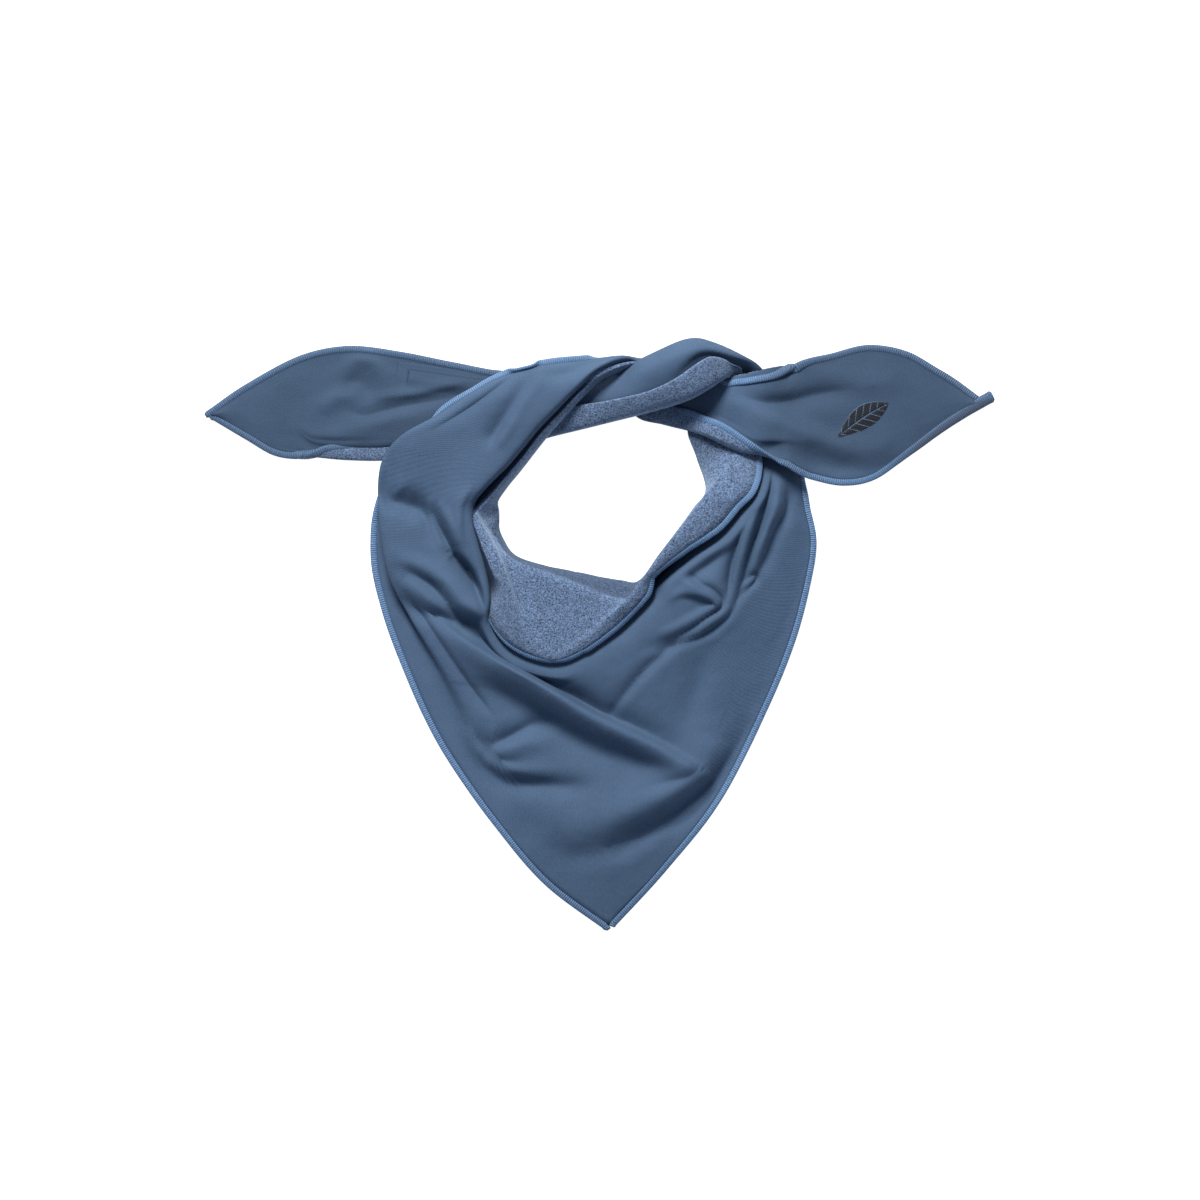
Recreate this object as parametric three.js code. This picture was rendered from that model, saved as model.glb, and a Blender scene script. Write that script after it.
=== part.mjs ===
// Triangular neckerchief of two-faced cloth, tied in a half knot and laid flat.
// Right-handed frame in millimetres, +Z up, +Y towards the knot, floor at z = 0.
import * as THREE from "three";

// Plan positions are read on a drawing grid: x to the right, y towards the front tip.
const GRID_MM = 0.6;
const GRID_X0 = 600;
const GRID_Y0 = 635.6;

// Cloth and overlocked edge
const CLOTH_THICKNESS = 1.4;
const BINDING_WIDTH = 4.2;
const BINDING_THICKNESS = 2.4;
const BINDING_GAP = 0.35;
const BINDING_SIDES = 5;
const STUB_LENGTH = 4;

// Columns of the faceted solid. Columns: from section, to section, steps.
const COLUMN_PLAN = [
  [0, 3, 5],
  [3, 7, 4],
  [7, 15, 14],
  [15, 31, 34],
  [31, 39, 13],
  [39, 45, 10],
  [45, 50, 7],
];
const TIP_SECTION = 23;
const LAST_SECTION = 50;

// Embroidered leaf on the right tail
const LEAF_LENGTH = 38;
const LEAF_WIDTH = 15;
const LEAF_THICKNESS = 0.9;
const LEAF_LIFT = 0.7;
const LEAF_X = 862;
const LEAF_Y = 421;
const LEAF_TURN_DEG = 34;
const LEAF_STEPS = 12;

// Each rail runs the whole length of the scarf, from the left tail's corner through the knot,
// round the neck and back through the knot to the right tail's corner.
// Columns: section, x, y on the drawing grid, height z in mm.

// Long neckline edge, outer rim of its binding
const NECK_EDGE = [
  [0, 221.5, 425, 1.8],
  [1, 248, 441, 2],
  [2, 299, 461.8, 2.4],
  [2.25, 313.7, 458.8, 5.2],
  [2.5, 325.2, 456.7, 5.5],
  [3, 345, 446.5, 6.5],
  [4, 394, 443, 7.5],
  [5, 450, 432, 8],
  [6, 510, 427, 8.2],
  [7, 564, 420.5, 9],
  [8, 608, 411.5, 16.6],
  [9, 648, 399, 22.9],
  [10, 680, 386, 27],
  [11, 705, 372, 26.2],
  [12, 713.2, 369.3, 23.6],
  [12.5, 742.8, 373.1, 10.7],
  [13, 736.9, 384, 6.4],
  [14, 750, 420, 7],
  [15, 762, 460, 11],
  [16, 757, 490, 20],
  [17, 740, 510, 22],
  [18, 720, 532, 23],
  [19, 692, 549, 23],
  [20, 660, 574, 23],
  [21, 650, 598, 22],
  [22, 622, 628, 21],
  [23, 590, 652, 20],
  [24, 560, 664, 20],
  [25, 530, 658, 19.5],
  [26, 505, 643, 19.5],
  [27, 493, 620, 19],
  [28, 487, 597, 18],
  [29, 480, 572, 17.5],
  [30, 469, 537, 17.5],
  [31, 461.5, 506, 17.5],
  [32, 474, 479, 17.5],
  [33, 494, 456, 18],
  [34, 506, 435, 20],
  [35, 521, 415.5, 22],
  [36, 541, 396, 23.5],
  [37, 565, 379, 23.4],
  [38, 592.5, 366.2, 23.1],
  [39, 623, 364.8, 8.5],
  [39.5, 629.1, 365, 15],
  [40, 650.1, 391.5, 6.8],
  [41, 700, 414, 11],
  [42, 724, 424, 17.5],
  [43, 752, 443, 21],
  [43.5, 766, 455, 21.5],
  [44, 781, 465.5, 20.5],
  [44.5, 795, 474.2, 18.2],
  [45, 809, 479, 12],
  [46, 843, 486, 8],
  [47, 874, 480, 5],
  [48, 908, 457, 4],
  [49, 944, 432, 3],
  [50, 975, 411.5, 2.4],
];

// Ridge where the turned-out collar folds over
const COLLAR_RIDGE = [
  [3, 347, 459, 4],
  [4, 392, 459, 4.6],
  [5, 450, 450, 5],
  [6, 510, 438, 8],
  [7, 566, 410.5, 15.8],
  [8, 605, 403, 22.8],
  [9, 644, 389, 29.4],
  [10, 672, 375.5, 33.2],
  [11, 700, 360.5, 32.4],
  [12, 717, 359.5, 28],
  [12.5, 739, 369, 13.8],
  [13, 740, 380, 8.8],
  [14, 732, 425, 8],
  [15, 738, 455, 12.5],
  [16, 710, 491, 25],
  [17, 695, 510, 28],
  [18, 679, 531, 29],
  [19, 661, 555, 29],
  [20, 642, 580, 28],
  [21, 627, 600, 27],
  [22, 602, 622, 26],
  [23, 572, 645, 24],
  [24, 545, 655, 23.5],
  [25, 528, 640, 24],
  [26, 518, 620, 24],
  [27, 508, 592, 24],
  [28, 502, 572, 23],
  [29, 497, 553, 22.5],
  [30, 485, 533, 20],
  [31, 477, 515, 18],
  [32, 491, 495, 17.5],
  [33, 508, 474, 18.5],
  [34, 525, 454, 20.5],
  [35, 541, 433, 22.5],
  [36, 560, 413, 24],
  [37, 581, 391, 26],
  [38, 604, 373.5, 24],
  [39, 638, 363.5, 14],
  [39.5, 643, 382, 6.6],
  [40, 655, 402, 6],
  [41, 690, 422, 9],
  [42, 714, 436, 15.5],
  [43, 747, 452, 19],
  [43.5, 763, 460, 18.5],
  [44, 781, 466.5, 15.5],
];

// Inner lip of the collar, where its fleece turns down into the neck opening
const COLLAR_LIP = [
  [3, 347, 458, 2.6],
  [4, 393, 458, 3],
  [5, 450, 450, 3.6],
  [6, 510, 445, 4],
  [7, 562, 432, 11.5],
  [8, 612, 419, 18],
  [9, 655, 408, 24.3],
  [10, 690, 396, 27.8],
  [11, 712, 384, 26.5],
  [12, 726, 376, 20.5],
  [12.5, 734, 374, 10.2],
  [13, 731, 390, 6],
  [14, 710, 425, 5],
  [15, 712, 458, 8],
  [16, 711, 490, 19],
  [17, 698, 509, 20],
  [18, 682, 531, 20],
  [19, 664, 555, 20],
  [20, 646, 580, 21],
  [21, 628, 599, 22],
  [22, 607, 597, 20],
  [23, 578, 586, 19],
  [24, 545, 573, 18],
  [25, 520, 564, 17],
  [26, 508, 557, 17],
  [27, 501, 548, 16],
  [28, 496, 540, 14],
  [29, 491, 532, 12],
  [30, 486, 522, 12],
  [31, 485, 511, 12],
  [32, 498, 492, 13],
  [33, 513, 474, 14],
  [34, 529, 455, 16],
  [35, 545, 435, 18.5],
  [36, 563, 415, 21],
  [37, 584, 393, 22],
  [38, 605, 375.5, 19.5],
  [39, 640, 367, 9.5],
  [39.5, 640, 385, 5],
  [40, 646, 408, 4.5],
  [41, 680, 424, 6],
  [42, 708, 435, 13],
  [43, 745, 452, 17.5],
  [44, 779, 466, 15],
];

// Lowest fold of the neckline, the edge of the opening seen from above
const OPENING_FOLD = [
  [3, 347, 459, 1.8],
  [4, 393, 459, 1.8],
  [5, 450, 451, 1.8],
  [6, 510, 446, 1.9],
  [7, 560, 433, 5],
  [8, 608, 421, 10],
  [9, 652, 410, 15.5],
  [10, 684, 400, 17.5],
  [11, 707, 388, 16],
  [12, 719, 381.5, 15.5],
  [12.5, 731, 376.5, 7],
  [13, 714, 397, 2.2],
  [14, 688, 426, 2],
  [15, 697, 457, 2],
  [16, 708, 490, 2.4],
  [17, 695, 510, 2.4],
  [18, 680, 531, 2.2],
  [19, 661, 556, 2],
  [20, 641, 582, 2],
  [21, 622, 581, 2],
  [22, 600, 578, 2],
  [23, 575, 574, 2],
  [24, 548, 570, 2],
  [25, 525, 564, 2],
  [26, 512, 556, 2],
  [27, 503, 542, 2],
  [28, 498, 530, 2],
  [29, 498, 521, 2],
  [30, 498, 512, 2],
  [31, 497, 500, 2],
  [32, 506, 486, 2.4],
  [33, 518, 472, 6],
  [34, 531, 456, 9],
  [35, 547, 436, 12.5],
  [36, 564, 417, 15],
  [37, 585, 394.5, 16.5],
  [38, 606, 377, 15.5],
  [39, 640, 369, 5.5],
  [39.5, 637, 389, 3],
  [40, 634, 414, 1.9],
  [41, 665, 424, 1.9],
  [42, 702, 434, 8.5],
  [43, 742, 452, 15.5],
  [44, 778, 466, 13.5],
];

// How far the hidden pleats under the collar reach outwards. Columns: section, x, y.
const PLEAT_REACH = [
  [3, 350, 400],
  [4, 395, 400],
  [5, 452, 396],
  [6, 510, 392],
  [7, 560, 388],
  [8, 602, 384],
  [9, 646, 370],
  [10, 684, 358],
  [11, 708, 358],
  [12, 736, 368],
  [12.5, 748, 372],
  [13, 760, 388],
  [14, 775, 430],
  [15, 782, 468],
  [16, 780, 496],
  [17, 765, 520],
  [18, 742, 546],
  [19, 713, 572],
  [20, 688, 596],
  [21, 670, 620],
  [22, 642, 648],
  [23, 600, 680],
  [24, 560, 692],
  [25, 520, 688],
  [26, 482, 672],
  [27, 458, 645],
  [28, 443, 618],
  [29, 430, 588],
  [30, 418, 556],
  [31, 410, 522],
  [32, 410, 482],
  [33, 430, 452],
  [34, 456, 428],
  [35, 484, 406],
  [36, 514, 390],
  [37, 550, 376],
  [38, 590, 367],
  [39, 628, 359.5],
  [39.5, 651, 367],
  [40, 680, 370],
  [41, 710, 392],
  [42, 735, 388],
  [43, 760, 388],
  [44, 792, 385],
];

// Width of the overlocked neckline edge where the knot draws it tight. Columns: section, share.
const KNOT_SQUEEZE = [
  [0, 1],
  [6.2, 1],
  [6.8, 0.5],
  [7.2, 0.5],
  [7.6, 1],
  [11.6, 1],
  [12.1, 0.35],
  [13.8, 0.35],
  [14.4, 1],
  [36.6, 1],
  [37.6, 0.25],
  [40, 0.25],
  [40.8, 1],
  [50, 1],
];

const SHORT_EDGE_SQUEEZE = [
  [0, 1],
  [7.6, 1],
  [8.2, 0.35],
  [13, 0.35],
  [13.8, 1],
  [31.2, 1],
  [31.6, 0.8],
  [32.8, 0.8],
  [33.2, 1],
  [38.2, 1],
  [38.8, 0.35],
  [41.2, 0.35],
  [41.6, 1],
  [50, 1],
];

// How fully the hidden pleats are folded, 0 flat to 1 doubled back. Columns: section, share.
const PLEAT_SHARE = [
  [3, 0],
  [7, 0],
  [8.5, 0.5],
  [9.5, 0.9],
  [11.5, 0.9],
  [12.5, 0],
  [14.5, 0],
  [16, 1],
  [29, 1],
  [31, 0.8],
  [32.5, 0.2],
  [34, 0],
  [44, 0],
];

// First line of smooth cloth outside the collar; on the left strand it is a roll over the collar
const ROLL = [
  [3, 346, 443, 4],
  [4, 394, 440, 4.4],
  [5, 450, 428, 5],
  [6, 510, 420, 5.5],
  [7, 566, 408, 9.5],
  [8, 604, 401, 15.5],
  [9, 642, 387, 23],
  [10, 670, 373, 27],
  [11, 698, 358, 27],
  [12, 722, 358, 22],
  [12.5, 743, 366, 11.5],
  [13, 748, 378, 6],
  [14, 764, 420, 4.5],
  [15, 769, 464, 7.5],
  [16, 764, 494, 13],
  [17, 748, 518, 14],
  [18, 728, 541, 15],
  [19, 702, 558, 15],
  [20, 672, 582, 14],
  [21, 660, 605, 13],
  [22, 628, 640, 12],
  [23, 594, 664, 11.5],
  [24, 562, 676, 11.5],
  [25, 527, 670, 12],
  [26, 499, 652, 13],
  [27, 484, 624, 16],
  [28, 485.5, 597.5, 21],
  [29, 481, 571, 23],
  [30, 471.5, 536, 24],
  [31, 467, 507, 25],
  [32, 478.5, 482.5, 26],
  [33, 498.5, 459, 27],
  [34, 513, 440.5, 28.5],
  [35, 529, 421.5, 30],
  [36, 549, 402.5, 31.5],
  [37, 571.5, 383, 31.5],
  [38, 598.5, 368, 28.5],
  [39, 629, 358.5, 17.5],
  [39.5, 648, 372, 9.4],
  [40, 668, 385, 8],
  [41, 703, 410, 8],
  [42, 726, 420, 13],
  [43, 754, 438, 16.5],
  [44, 785, 460, 14],
];

// Crown of the panel or strand
const CROWN = [
  [3, 347, 415, 4.4],
  [4, 395, 415, 5],
  [5, 451, 408, 5.8],
  [6, 510, 405, 6],
  [7, 563, 397, 9],
  [8, 604, 391, 14.5],
  [8.5, 625, 380, 17.5],
  [9, 644, 373, 25],
  [10, 680, 356, 30],
  [11, 706, 350, 29],
  [12, 735, 358, 21],
  [12.5, 749, 366, 12],
  [13, 758, 380, 6],
  [14, 775, 425, 4.8],
  [15, 781, 468, 8],
  [16, 782, 500, 11],
  [17, 772, 530, 10],
  [18, 755, 565, 9],
  [19, 735, 600, 8],
  [20, 718, 650, 8],
  [21, 695, 700, 9],
  [22, 655, 742, 11],
  [23, 606, 724, 12],
  [24, 565, 705, 13],
  [25, 520, 680, 13],
  [26, 478, 655, 14],
  [27, 452, 630, 17],
  [28, 442, 605, 20],
  [29, 434, 575, 21.5],
  [30, 426, 545, 22],
  [31, 427, 508, 22.5],
  [32, 442, 470, 23.5],
  [33, 460, 443, 25],
  [34, 481, 423, 28],
  [35, 503, 405, 31],
  [36, 526, 390, 31.5],
  [37, 557, 375, 30],
  [38, 590, 366, 25],
  [39, 626, 357.5, 16.5],
  [39.5, 651, 367.5, 8.8],
  [40, 675, 376, 8],
  [41, 708, 398, 9.5],
  [42, 732, 405, 15],
  [43, 760, 412, 18],
  [44, 790, 420, 15],
];

// Brow: the last fold before the short edges; it overhangs them on the left shoulder
const BROW = [
  [3, 349, 378, 3.4],
  [4, 397, 380, 4],
  [5, 452, 384, 5],
  [6, 510, 386, 5],
  [7, 561, 382, 6.5],
  [8, 603, 383, 10],
  [8.5, 624, 369.5, 13],
  [9, 650, 356, 18],
  [10, 688, 340.5, 21],
  [11, 714, 344.5, 20],
  [12, 747, 359.5, 14],
  [12.5, 759, 368, 9],
  [13, 769, 383, 5],
  [14, 790, 432, 4.2],
  [15, 794, 474, 6],
  [16, 798, 505, 6],
  [17, 799, 540, 5],
  [18, 789, 576, 5],
  [19, 771, 628, 5],
  [20, 743, 690, 4.5],
  [21, 706, 765, 4.5],
  [22, 655, 830, 4],
  [23, 607, 850, 4],
  [24, 552, 812, 5],
  [25, 506, 765, 6],
  [26, 470, 710, 8],
  [27, 443, 665, 9],
  [28, 412, 617, 10],
  [29, 393, 579, 10],
  [30, 384.5, 540, 10.5],
  [31, 379.5, 495, 11],
  [32, 384, 461, 13],
  [33, 404, 436, 19],
  [34, 446, 414, 24],
  [35, 477, 394, 27],
  [36, 505, 380, 27.5],
  [37, 545, 369, 27],
  [38, 584, 363.5, 23],
  [39, 623.5, 357, 12.5],
  [39.5, 653, 363.5, 7.8],
  [40, 683, 367, 7.5],
  [41, 712, 389, 10.4],
  [42, 735, 391, 15],
  [43, 762, 391, 17.5],
  [44, 792, 389, 14.5],
];

// Foot of the brow, lying low next to the short edges
const BROW_FOOT = [
  [3, 350, 362, 2.8],
  [4, 399, 366, 3.2],
  [5, 453, 373, 4],
  [6, 510, 378, 4],
  [7, 560, 376, 5],
  [8, 602, 378, 7.5],
  [8.5, 625, 367, 13],
  [9, 650, 358.5, 17.5],
  [10, 689, 346, 16],
  [11, 716, 350, 14],
  [12, 750, 363, 8.5],
  [12.5, 762, 371, 6],
  [13, 770, 386, 3.6],
  [14, 794, 435, 3],
  [15, 799, 478, 4],
  [16, 803, 505, 3.6],
  [17, 807, 540, 3],
  [18, 799, 577, 3],
  [19, 782, 634, 2.6],
  [20, 755, 700, 2],
  [21, 714, 780, 1.2],
  [22, 659, 851, 0.6],
  [23, 608, 888, 0.5],
  [24, 549, 846, 0.6],
  [25, 501, 796, 1.2],
  [26, 462, 722, 2.4],
  [27, 439, 673, 2.6],
  [28, 413, 621, 2.2],
  [29, 395, 583, 2.2],
  [30, 387, 541, 2.2],
  [31, 390.9, 491.9, 2.4],
  [32, 402.6, 457.1, 6],
  [33, 416.5, 434.8, 15.9],
  [34, 443, 412.5, 18],
  [35, 474.5, 392.5, 23],
  [36, 502.5, 378, 24.5],
  [37, 543, 366.5, 23.5],
  [38, 582, 362, 21],
  [39, 623, 357.5, 9],
  [39.5, 653.5, 361.5, 6.8],
  [40, 687, 364, 6.5],
  [41, 714, 385.5, 10.6],
  [42, 737, 385, 14.8],
  [43, 762, 383, 17],
  [44, 793, 379, 14],
];

// Short edges, outer rim of their bindings, meeting at the front tip
const SHORT_EDGE = [
  [0, 215.5, 405.5, 1.8],
  [1, 246, 384, 2],
  [2, 300, 355.5, 2.4],
  [3, 350, 345.7, 2.6],
  [4, 400.5, 351.6, 3],
  [5, 453, 362, 3.4],
  [6, 510, 372, 3.6],
  [7, 560, 370, 4],
  [8, 595.6, 374.5, 7.7],
  [8.5, 614.2, 378.8, 12.4],
  [9, 653.9, 378.6, 17.6],
  [10, 692, 356, 15],
  [11, 717, 357, 12],
  [12, 751, 368, 6],
  [12.5, 765, 375, 3.6],
  [13, 774, 388, 2.6],
  [14, 798, 438, 2],
  [15, 803.5, 480, 2],
  [16, 809, 504, 1.6],
  [17, 816.5, 540, 1.4],
  [18, 811.5, 580, 1.4],
  [19, 795.5, 641, 1.4],
  [20, 767, 711, 1.4],
  [21, 722, 799.5, 1.4],
  [22, 666, 871, 1.4],
  [23, 609, 933, 1.4],
  [24, 545, 885, 1.4],
  [25, 495, 827, 1.4],
  [26, 452, 767, 1.4],
  [27, 425, 719.6, 1.4],
  [28, 401, 664.5, 1.4],
  [29, 382.5, 613.5, 1.4],
  [30, 371, 562, 1.4],
  [31, 374, 515, 1.5],
  [32, 392.6, 468.9, 1.9],
  [32.5, 406.1, 457.2, 11.3],
  [33, 419.1, 446.4, 15.2],
  [34, 440, 410.5, 15],
  [35, 472, 391, 21],
  [36, 500, 376, 23],
  [37, 541, 364, 22.5],
  [38, 580, 360, 20],
  [39, 623, 359.5, 5],
  [39.5, 654, 360, 5.8],
  [40, 691, 361, 5.5],
  [41, 715.5, 382.5, 12],
  [42, 738, 379.5, 14.5],
  [43, 762, 375.5, 16.5],
  [44, 794, 369.5, 13.5],
  [45, 831, 356, 9],
  [46, 868, 345, 6],
  [47, 906, 351, 4.5],
  [48, 938, 368.5, 3.5],
  [49, 956, 379.5, 2.8],
  [50, 974.5, 390, 2.4],
];

// Folds pressed into the laid cloth as soft ridges (rise > 0) and valleys (rise < 0).
// Columns: first and last section it acts on, start x, y, middle x, y, end x, y on the drawing grid,
// rise mm, half width mm, lean mm.
const FOLDS = [
  [20, 30, 430, 628, 553, 698, 705, 768, 3, 9, 0],
  [20, 29, 470, 672, 560, 719, 700, 770, -3.5, 8, 0],
  [20, 29, 452, 700, 500, 759, 590, 790, 3.5, 9, 0],
  [18, 25, 752, 700, 716, 775, 600, 850, -3.5, 8, 0],
  [18, 25, 768, 715, 730, 800, 615, 872, 2.5, 9, 0],
  [15, 20, 766, 463, 764, 512, 735, 592, -4, 4, 0],
  [15, 20, 785, 473, 780, 520, 745, 580, -4, 4, 0],
  [15, 20, 776, 468, 772, 515, 740, 588, 2.5, 5, 0],
  [15, 19, 741, 514, 733, 560, 722, 602, -3.5, 4, 0],
  [17, 22, 684, 590, 722, 604, 640, 650, 3, 8, 0],
  [25, 34, 394, 446, 428, 515, 490, 604, -4, 10, 0],
  [27, 34, 400, 500, 445, 585, 500, 650, 3, 9, 0],
  [41, 48, 715, 392, 794, 420, 890, 445, 2.5, 7, 0],
  [41, 47, 745, 392, 770, 404, 850, 410, -2, 7, 0],
  [1, 6, 330, 440, 369, 412.6, 470, 390, -2.5, 6, 0],
];

const planX = (x) => (x - GRID_X0) * GRID_MM;
const planY = (y) => (GRID_Y0 - y) * GRID_MM;
const clamp = (v, lo, hi) => Math.min(hi, Math.max(lo, v));
const smooth = (v) => v * v * (3 - 2 * v);
const mix = (a, b, t) => a.map((q, i) => q + (b[i] - q) * t);

// Smooth curve through a rail's rows, read at a section number; it may turn sharply at one row
function railPoint(rows, section, corner = -1) {
  let i = rows.findIndex((row) => row[0] >= section);
  if (i < 0) i = rows.length - 1;
  i = Math.max(0, i - 1);
  if (i >= rows.length - 1) i = rows.length - 2;
  const [a, b] = [rows[i], rows[i + 1]];
  const before = i > 0 && a[0] !== corner ? rows[i - 1] : a;
  const after = i + 2 < rows.length && b[0] !== corner ? rows[i + 2] : b;
  const span = b[0] - a[0];
  const t = clamp((section - a[0]) / span, 0, 1);
  const point = [];
  for (let k = 1; k < a.length; k += 1) {
    const slopeA = ((b[k] - before[k]) / (b[0] - before[0])) * span;
    const slopeB = ((after[k] - a[k]) / (after[0] - a[0])) * span;
    const [t2, t3] = [t * t, t * t * t];
    point.push(
      (2 * t3 - 3 * t2 + 1) * a[k] + (t3 - 2 * t2 + t) * slopeA +
      (3 * t2 - 2 * t3) * b[k] + (t3 - t2) * slopeB,
    );
  }
  return point;
}

// Straight-line value between a table's rows
function stepValue(rows, section) {
  const after = Math.max(1, rows.findIndex((row) => row[0] >= section));
  const [a, b] = [rows[after - 1], rows[after]];
  return a[1] + (b[1] - a[1]) * clamp((section - a[0]) / (b[0] - a[0]), 0, 1);
}

// The pleat knots between the opening fold and the roll: reach (0 inner, 1 outer) and stacking level
const PLEATS = [
  [1.0, 0.04],
  [1.0, 0.2],
  [0.22, 0.25],
  [0.22, 0.41],
  [1.0, 0.46],
  [1.0, 0.62],
  [0.22, 0.67],
  [0.22, 0.83],
];

// Knots of a cross-section: 13 is the roll, 17 the short edge
const ROLL_KNOT = 13;
const RIM_KNOT = 17;

// Even places of the knots across a flat tail
const SPREAD = [0, 0.5, 0.9, 1.3, 1.7, 2, 2.4, 2.7, 3.1, 3.4, 3.8, 4.1, 4.6, 5.4, 8.8, 13, 15, 17];

// How much the knots of a cross-section spread evenly, as at the flat corners of the tails
function flatness(section) {
  if (section < 3) return smooth(clamp((3 - section) / 1.2, 0, 1));
  return smooth(clamp((section - 44) / 1.2, 0, 1));
}

// How far the layer below the roll is tucked outwards, as on the left strand
function tuckOf(section) {
  const rise = smooth(clamp((section - 26.5) / 3, 0, 1));
  return rise * (1 - smooth(clamp((section - 38) / 1.5, 0, 1)));
}

function toMillimetres(p) {
  return [planX(p[0]), planY(p[1]), p[2]];
}

// Rim of the cloth itself: the outer rim moved inwards by the width of the binding
function clothRim(rail, section, end, target, flat) {
  const [a, b] = [-0.05, 0.05].map((d) => toMillimetres(railPoint(rail, section + d, TIP_SECTION)));
  const along = new THREE.Vector3(b[0] - a[0], b[1] - a[1], b[2] - a[2]).normalize();
  const inward = new THREE.Vector3(target[0] - end[0], target[1] - end[1], target[2] - end[2]);
  const room = Math.max(inward.length(), 1e-3);
  const slant = Math.max(0.62, along.cross(inward.normalize()).length());
  const most = 0.7 - 0.25 * flat;
  return mix(end, target, Math.min(most, (BINDING_WIDTH + BINDING_GAP) / slant / room));
}

// Knots of the cross-section at one section number, from the neckline edge to the short edge
function sectionKnots(section) {
  const flat = flatness(section);
  const outerEdge = toMillimetres(railPoint(NECK_EDGE, section));
  const outerRim = toMillimetres(railPoint(SHORT_EDGE, section, TIP_SECTION));
  const held = clamp(section, 3, 44);
  const heldEdge = toMillimetres(railPoint(NECK_EDGE, held));
  const heldRim = toMillimetres(railPoint(SHORT_EDGE, held));
  const at = (rail, knot) => {
    const point = toMillimetres(railPoint(rail, held));
    const share = SPREAD[knot] / SPREAD[RIM_KNOT];
    return point.map((q, k) => q + (outerEdge[k] - heldEdge[k]) * (1 - share) + (outerRim[k] - heldRim[k]) * share);
  };
  const ridge = at(COLLAR_RIDGE, 1);
  const lip = at(COLLAR_LIP, 2);
  const fold = at(OPENING_FOLD, 3);
  const roll = at(ROLL, ROLL_KNOT);
  const foot = at(BROW_FOOT, 16);
  const edge = clothRim(NECK_EDGE, section, outerEdge, mix(ridge, outerRim, flat), flat);
  const rim = clothRim(SHORT_EDGE, section, outerRim, mix(foot, outerEdge, flat), flat);
  const outer = at(PLEAT_REACH.map((row) => [...row, 0]), 8);
  const tuck = tuckOf(section);
  const share = stepValue(PLEAT_SHARE, held);
  const under = mix(fold, roll, 0.8);
  const below = mix(edge, outer, 0.75);
  const tucked = [below[0], below[1], edge[2] + 1.9];
  const turn = mix(under, tucked, tuck);
  const ceiling = Math.min(roll[2] - 1.6, edge[2] - 2.8 - 1.6 * tuck);
  const knots = [edge, ridge, lip, fold];
  PLEATS.forEach(([out, level], i) => {
    const even = (i + 1) / (PLEATS.length + 1);
    const plain = mix(fold, turn, even);
    plain[2] = fold[2] + (turn[2] - fold[2]) * even ** 3;
    const x = fold[0] + (outer[0] - fold[0]) * out;
    const y = fold[1] + (outer[1] - fold[1]) * out;
    const z = fold[2] + (ceiling - fold[2]) * level;
    knots.push(mix(plain, [x, y, z], share));
  });
  knots.push(turn);
  knots.push(roll, at(CROWN, 14), at(BROW, 15), foot, rim);
  if (flat <= 0) return knots;
  return knots.map((knot, i) => {
    const share = SPREAD[i] / SPREAD[RIM_KNOT];
    const even = mix(edge, rim, share);
    even[2] += 1.2 * Math.sin(Math.PI * share);
    return i === 0 || i === knots.length - 1 ? knot : mix(knot, even, flat);
  });
}

// Centripetal curve through the knots of a cross-section
function acrossPoint(knots, place) {
  const i = clamp(Math.floor(place), 0, knots.length - 2);
  const t = place - i;
  const [p1, p2] = [knots[i], knots[i + 1]];
  const p0 = i > 0 ? knots[i - 1] : p1.map((q, k) => 2 * q - p2[k]);
  const p3 = i + 2 < knots.length ? knots[i + 2] : p2.map((q, k) => 2 * q - p1[k]);
  const step = (a, b) => Math.sqrt(Math.max(1e-3, Math.hypot(a[0] - b[0], a[1] - b[1], a[2] - b[2])));
  const t0 = 0;
  const t1 = t0 + step(p0, p1);
  const t2 = t1 + step(p1, p2);
  const t3 = t2 + step(p2, p3);
  const at = t1 + (t2 - t1) * t;
  const blend = (a, b, ta, tb) => a.map((q, k) => (q * (tb - at) + b[k] * (at - ta)) / (tb - ta));
  const a1 = blend(p0, p1, t0, t1);
  const a2 = blend(p1, p2, t1, t2);
  const a3 = blend(p2, p3, t2, t3);
  return blend(blend(a1, a2, t0, t2), blend(a2, a3, t1, t3), t1, t2);
}

// Height added by the folds at a plan position of the visible smooth cloth
function foldHeight(section, x, y) {
  let height = 0;
  for (const [from, to, xa, ya, xb, yb, xc, yc, rise, width] of FOLDS) {
    if (section < from || section > to) continue;
    const ease = smooth(clamp(Math.min(section - from, to - section) / 0.8, 0, 1));
    let nearest = Infinity;
    let along = 0;
    for (let k = 0; k <= 12; k += 1) {
      const t = k / 12;
      const [wa, wb, wc] = [(1 - t) * (1 - 2 * t), 4 * t * (1 - t), t * (2 * t - 1)];
      const px = planX(wa * xa + wb * xb + wc * xc);
      const py = planY(wa * ya + wb * yb + wc * yc);
      const d = Math.hypot(x - px, y - py);
      if (d < nearest) {
        nearest = d;
        along = t;
      }
    }
    const fade = Math.sqrt(Math.max(0, Math.sin(Math.PI * clamp(along * 0.9 + 0.05, 0, 1))));
    height += rise * ease * fade * Math.exp(-((nearest / width) ** 2));
  }
  return height;
}

// Middle surface of the cloth
function clothPoint(section, place) {
  const knots = sectionKnots(section);
  const point = acrossPoint(knots, place);
  if (place > ROLL_KNOT) {
    const inner = smooth(clamp((place - ROLL_KNOT) / 0.7, 0, 1));
    const outer = smooth(clamp((RIM_KNOT - place) / 0.8, 0, 1));
    point[2] += foldHeight(section, point[0], point[1]) * inner * outer;
  }
  point[2] = Math.max(point[2], CLOTH_THICKNESS / 2);
  return point;
}

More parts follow.
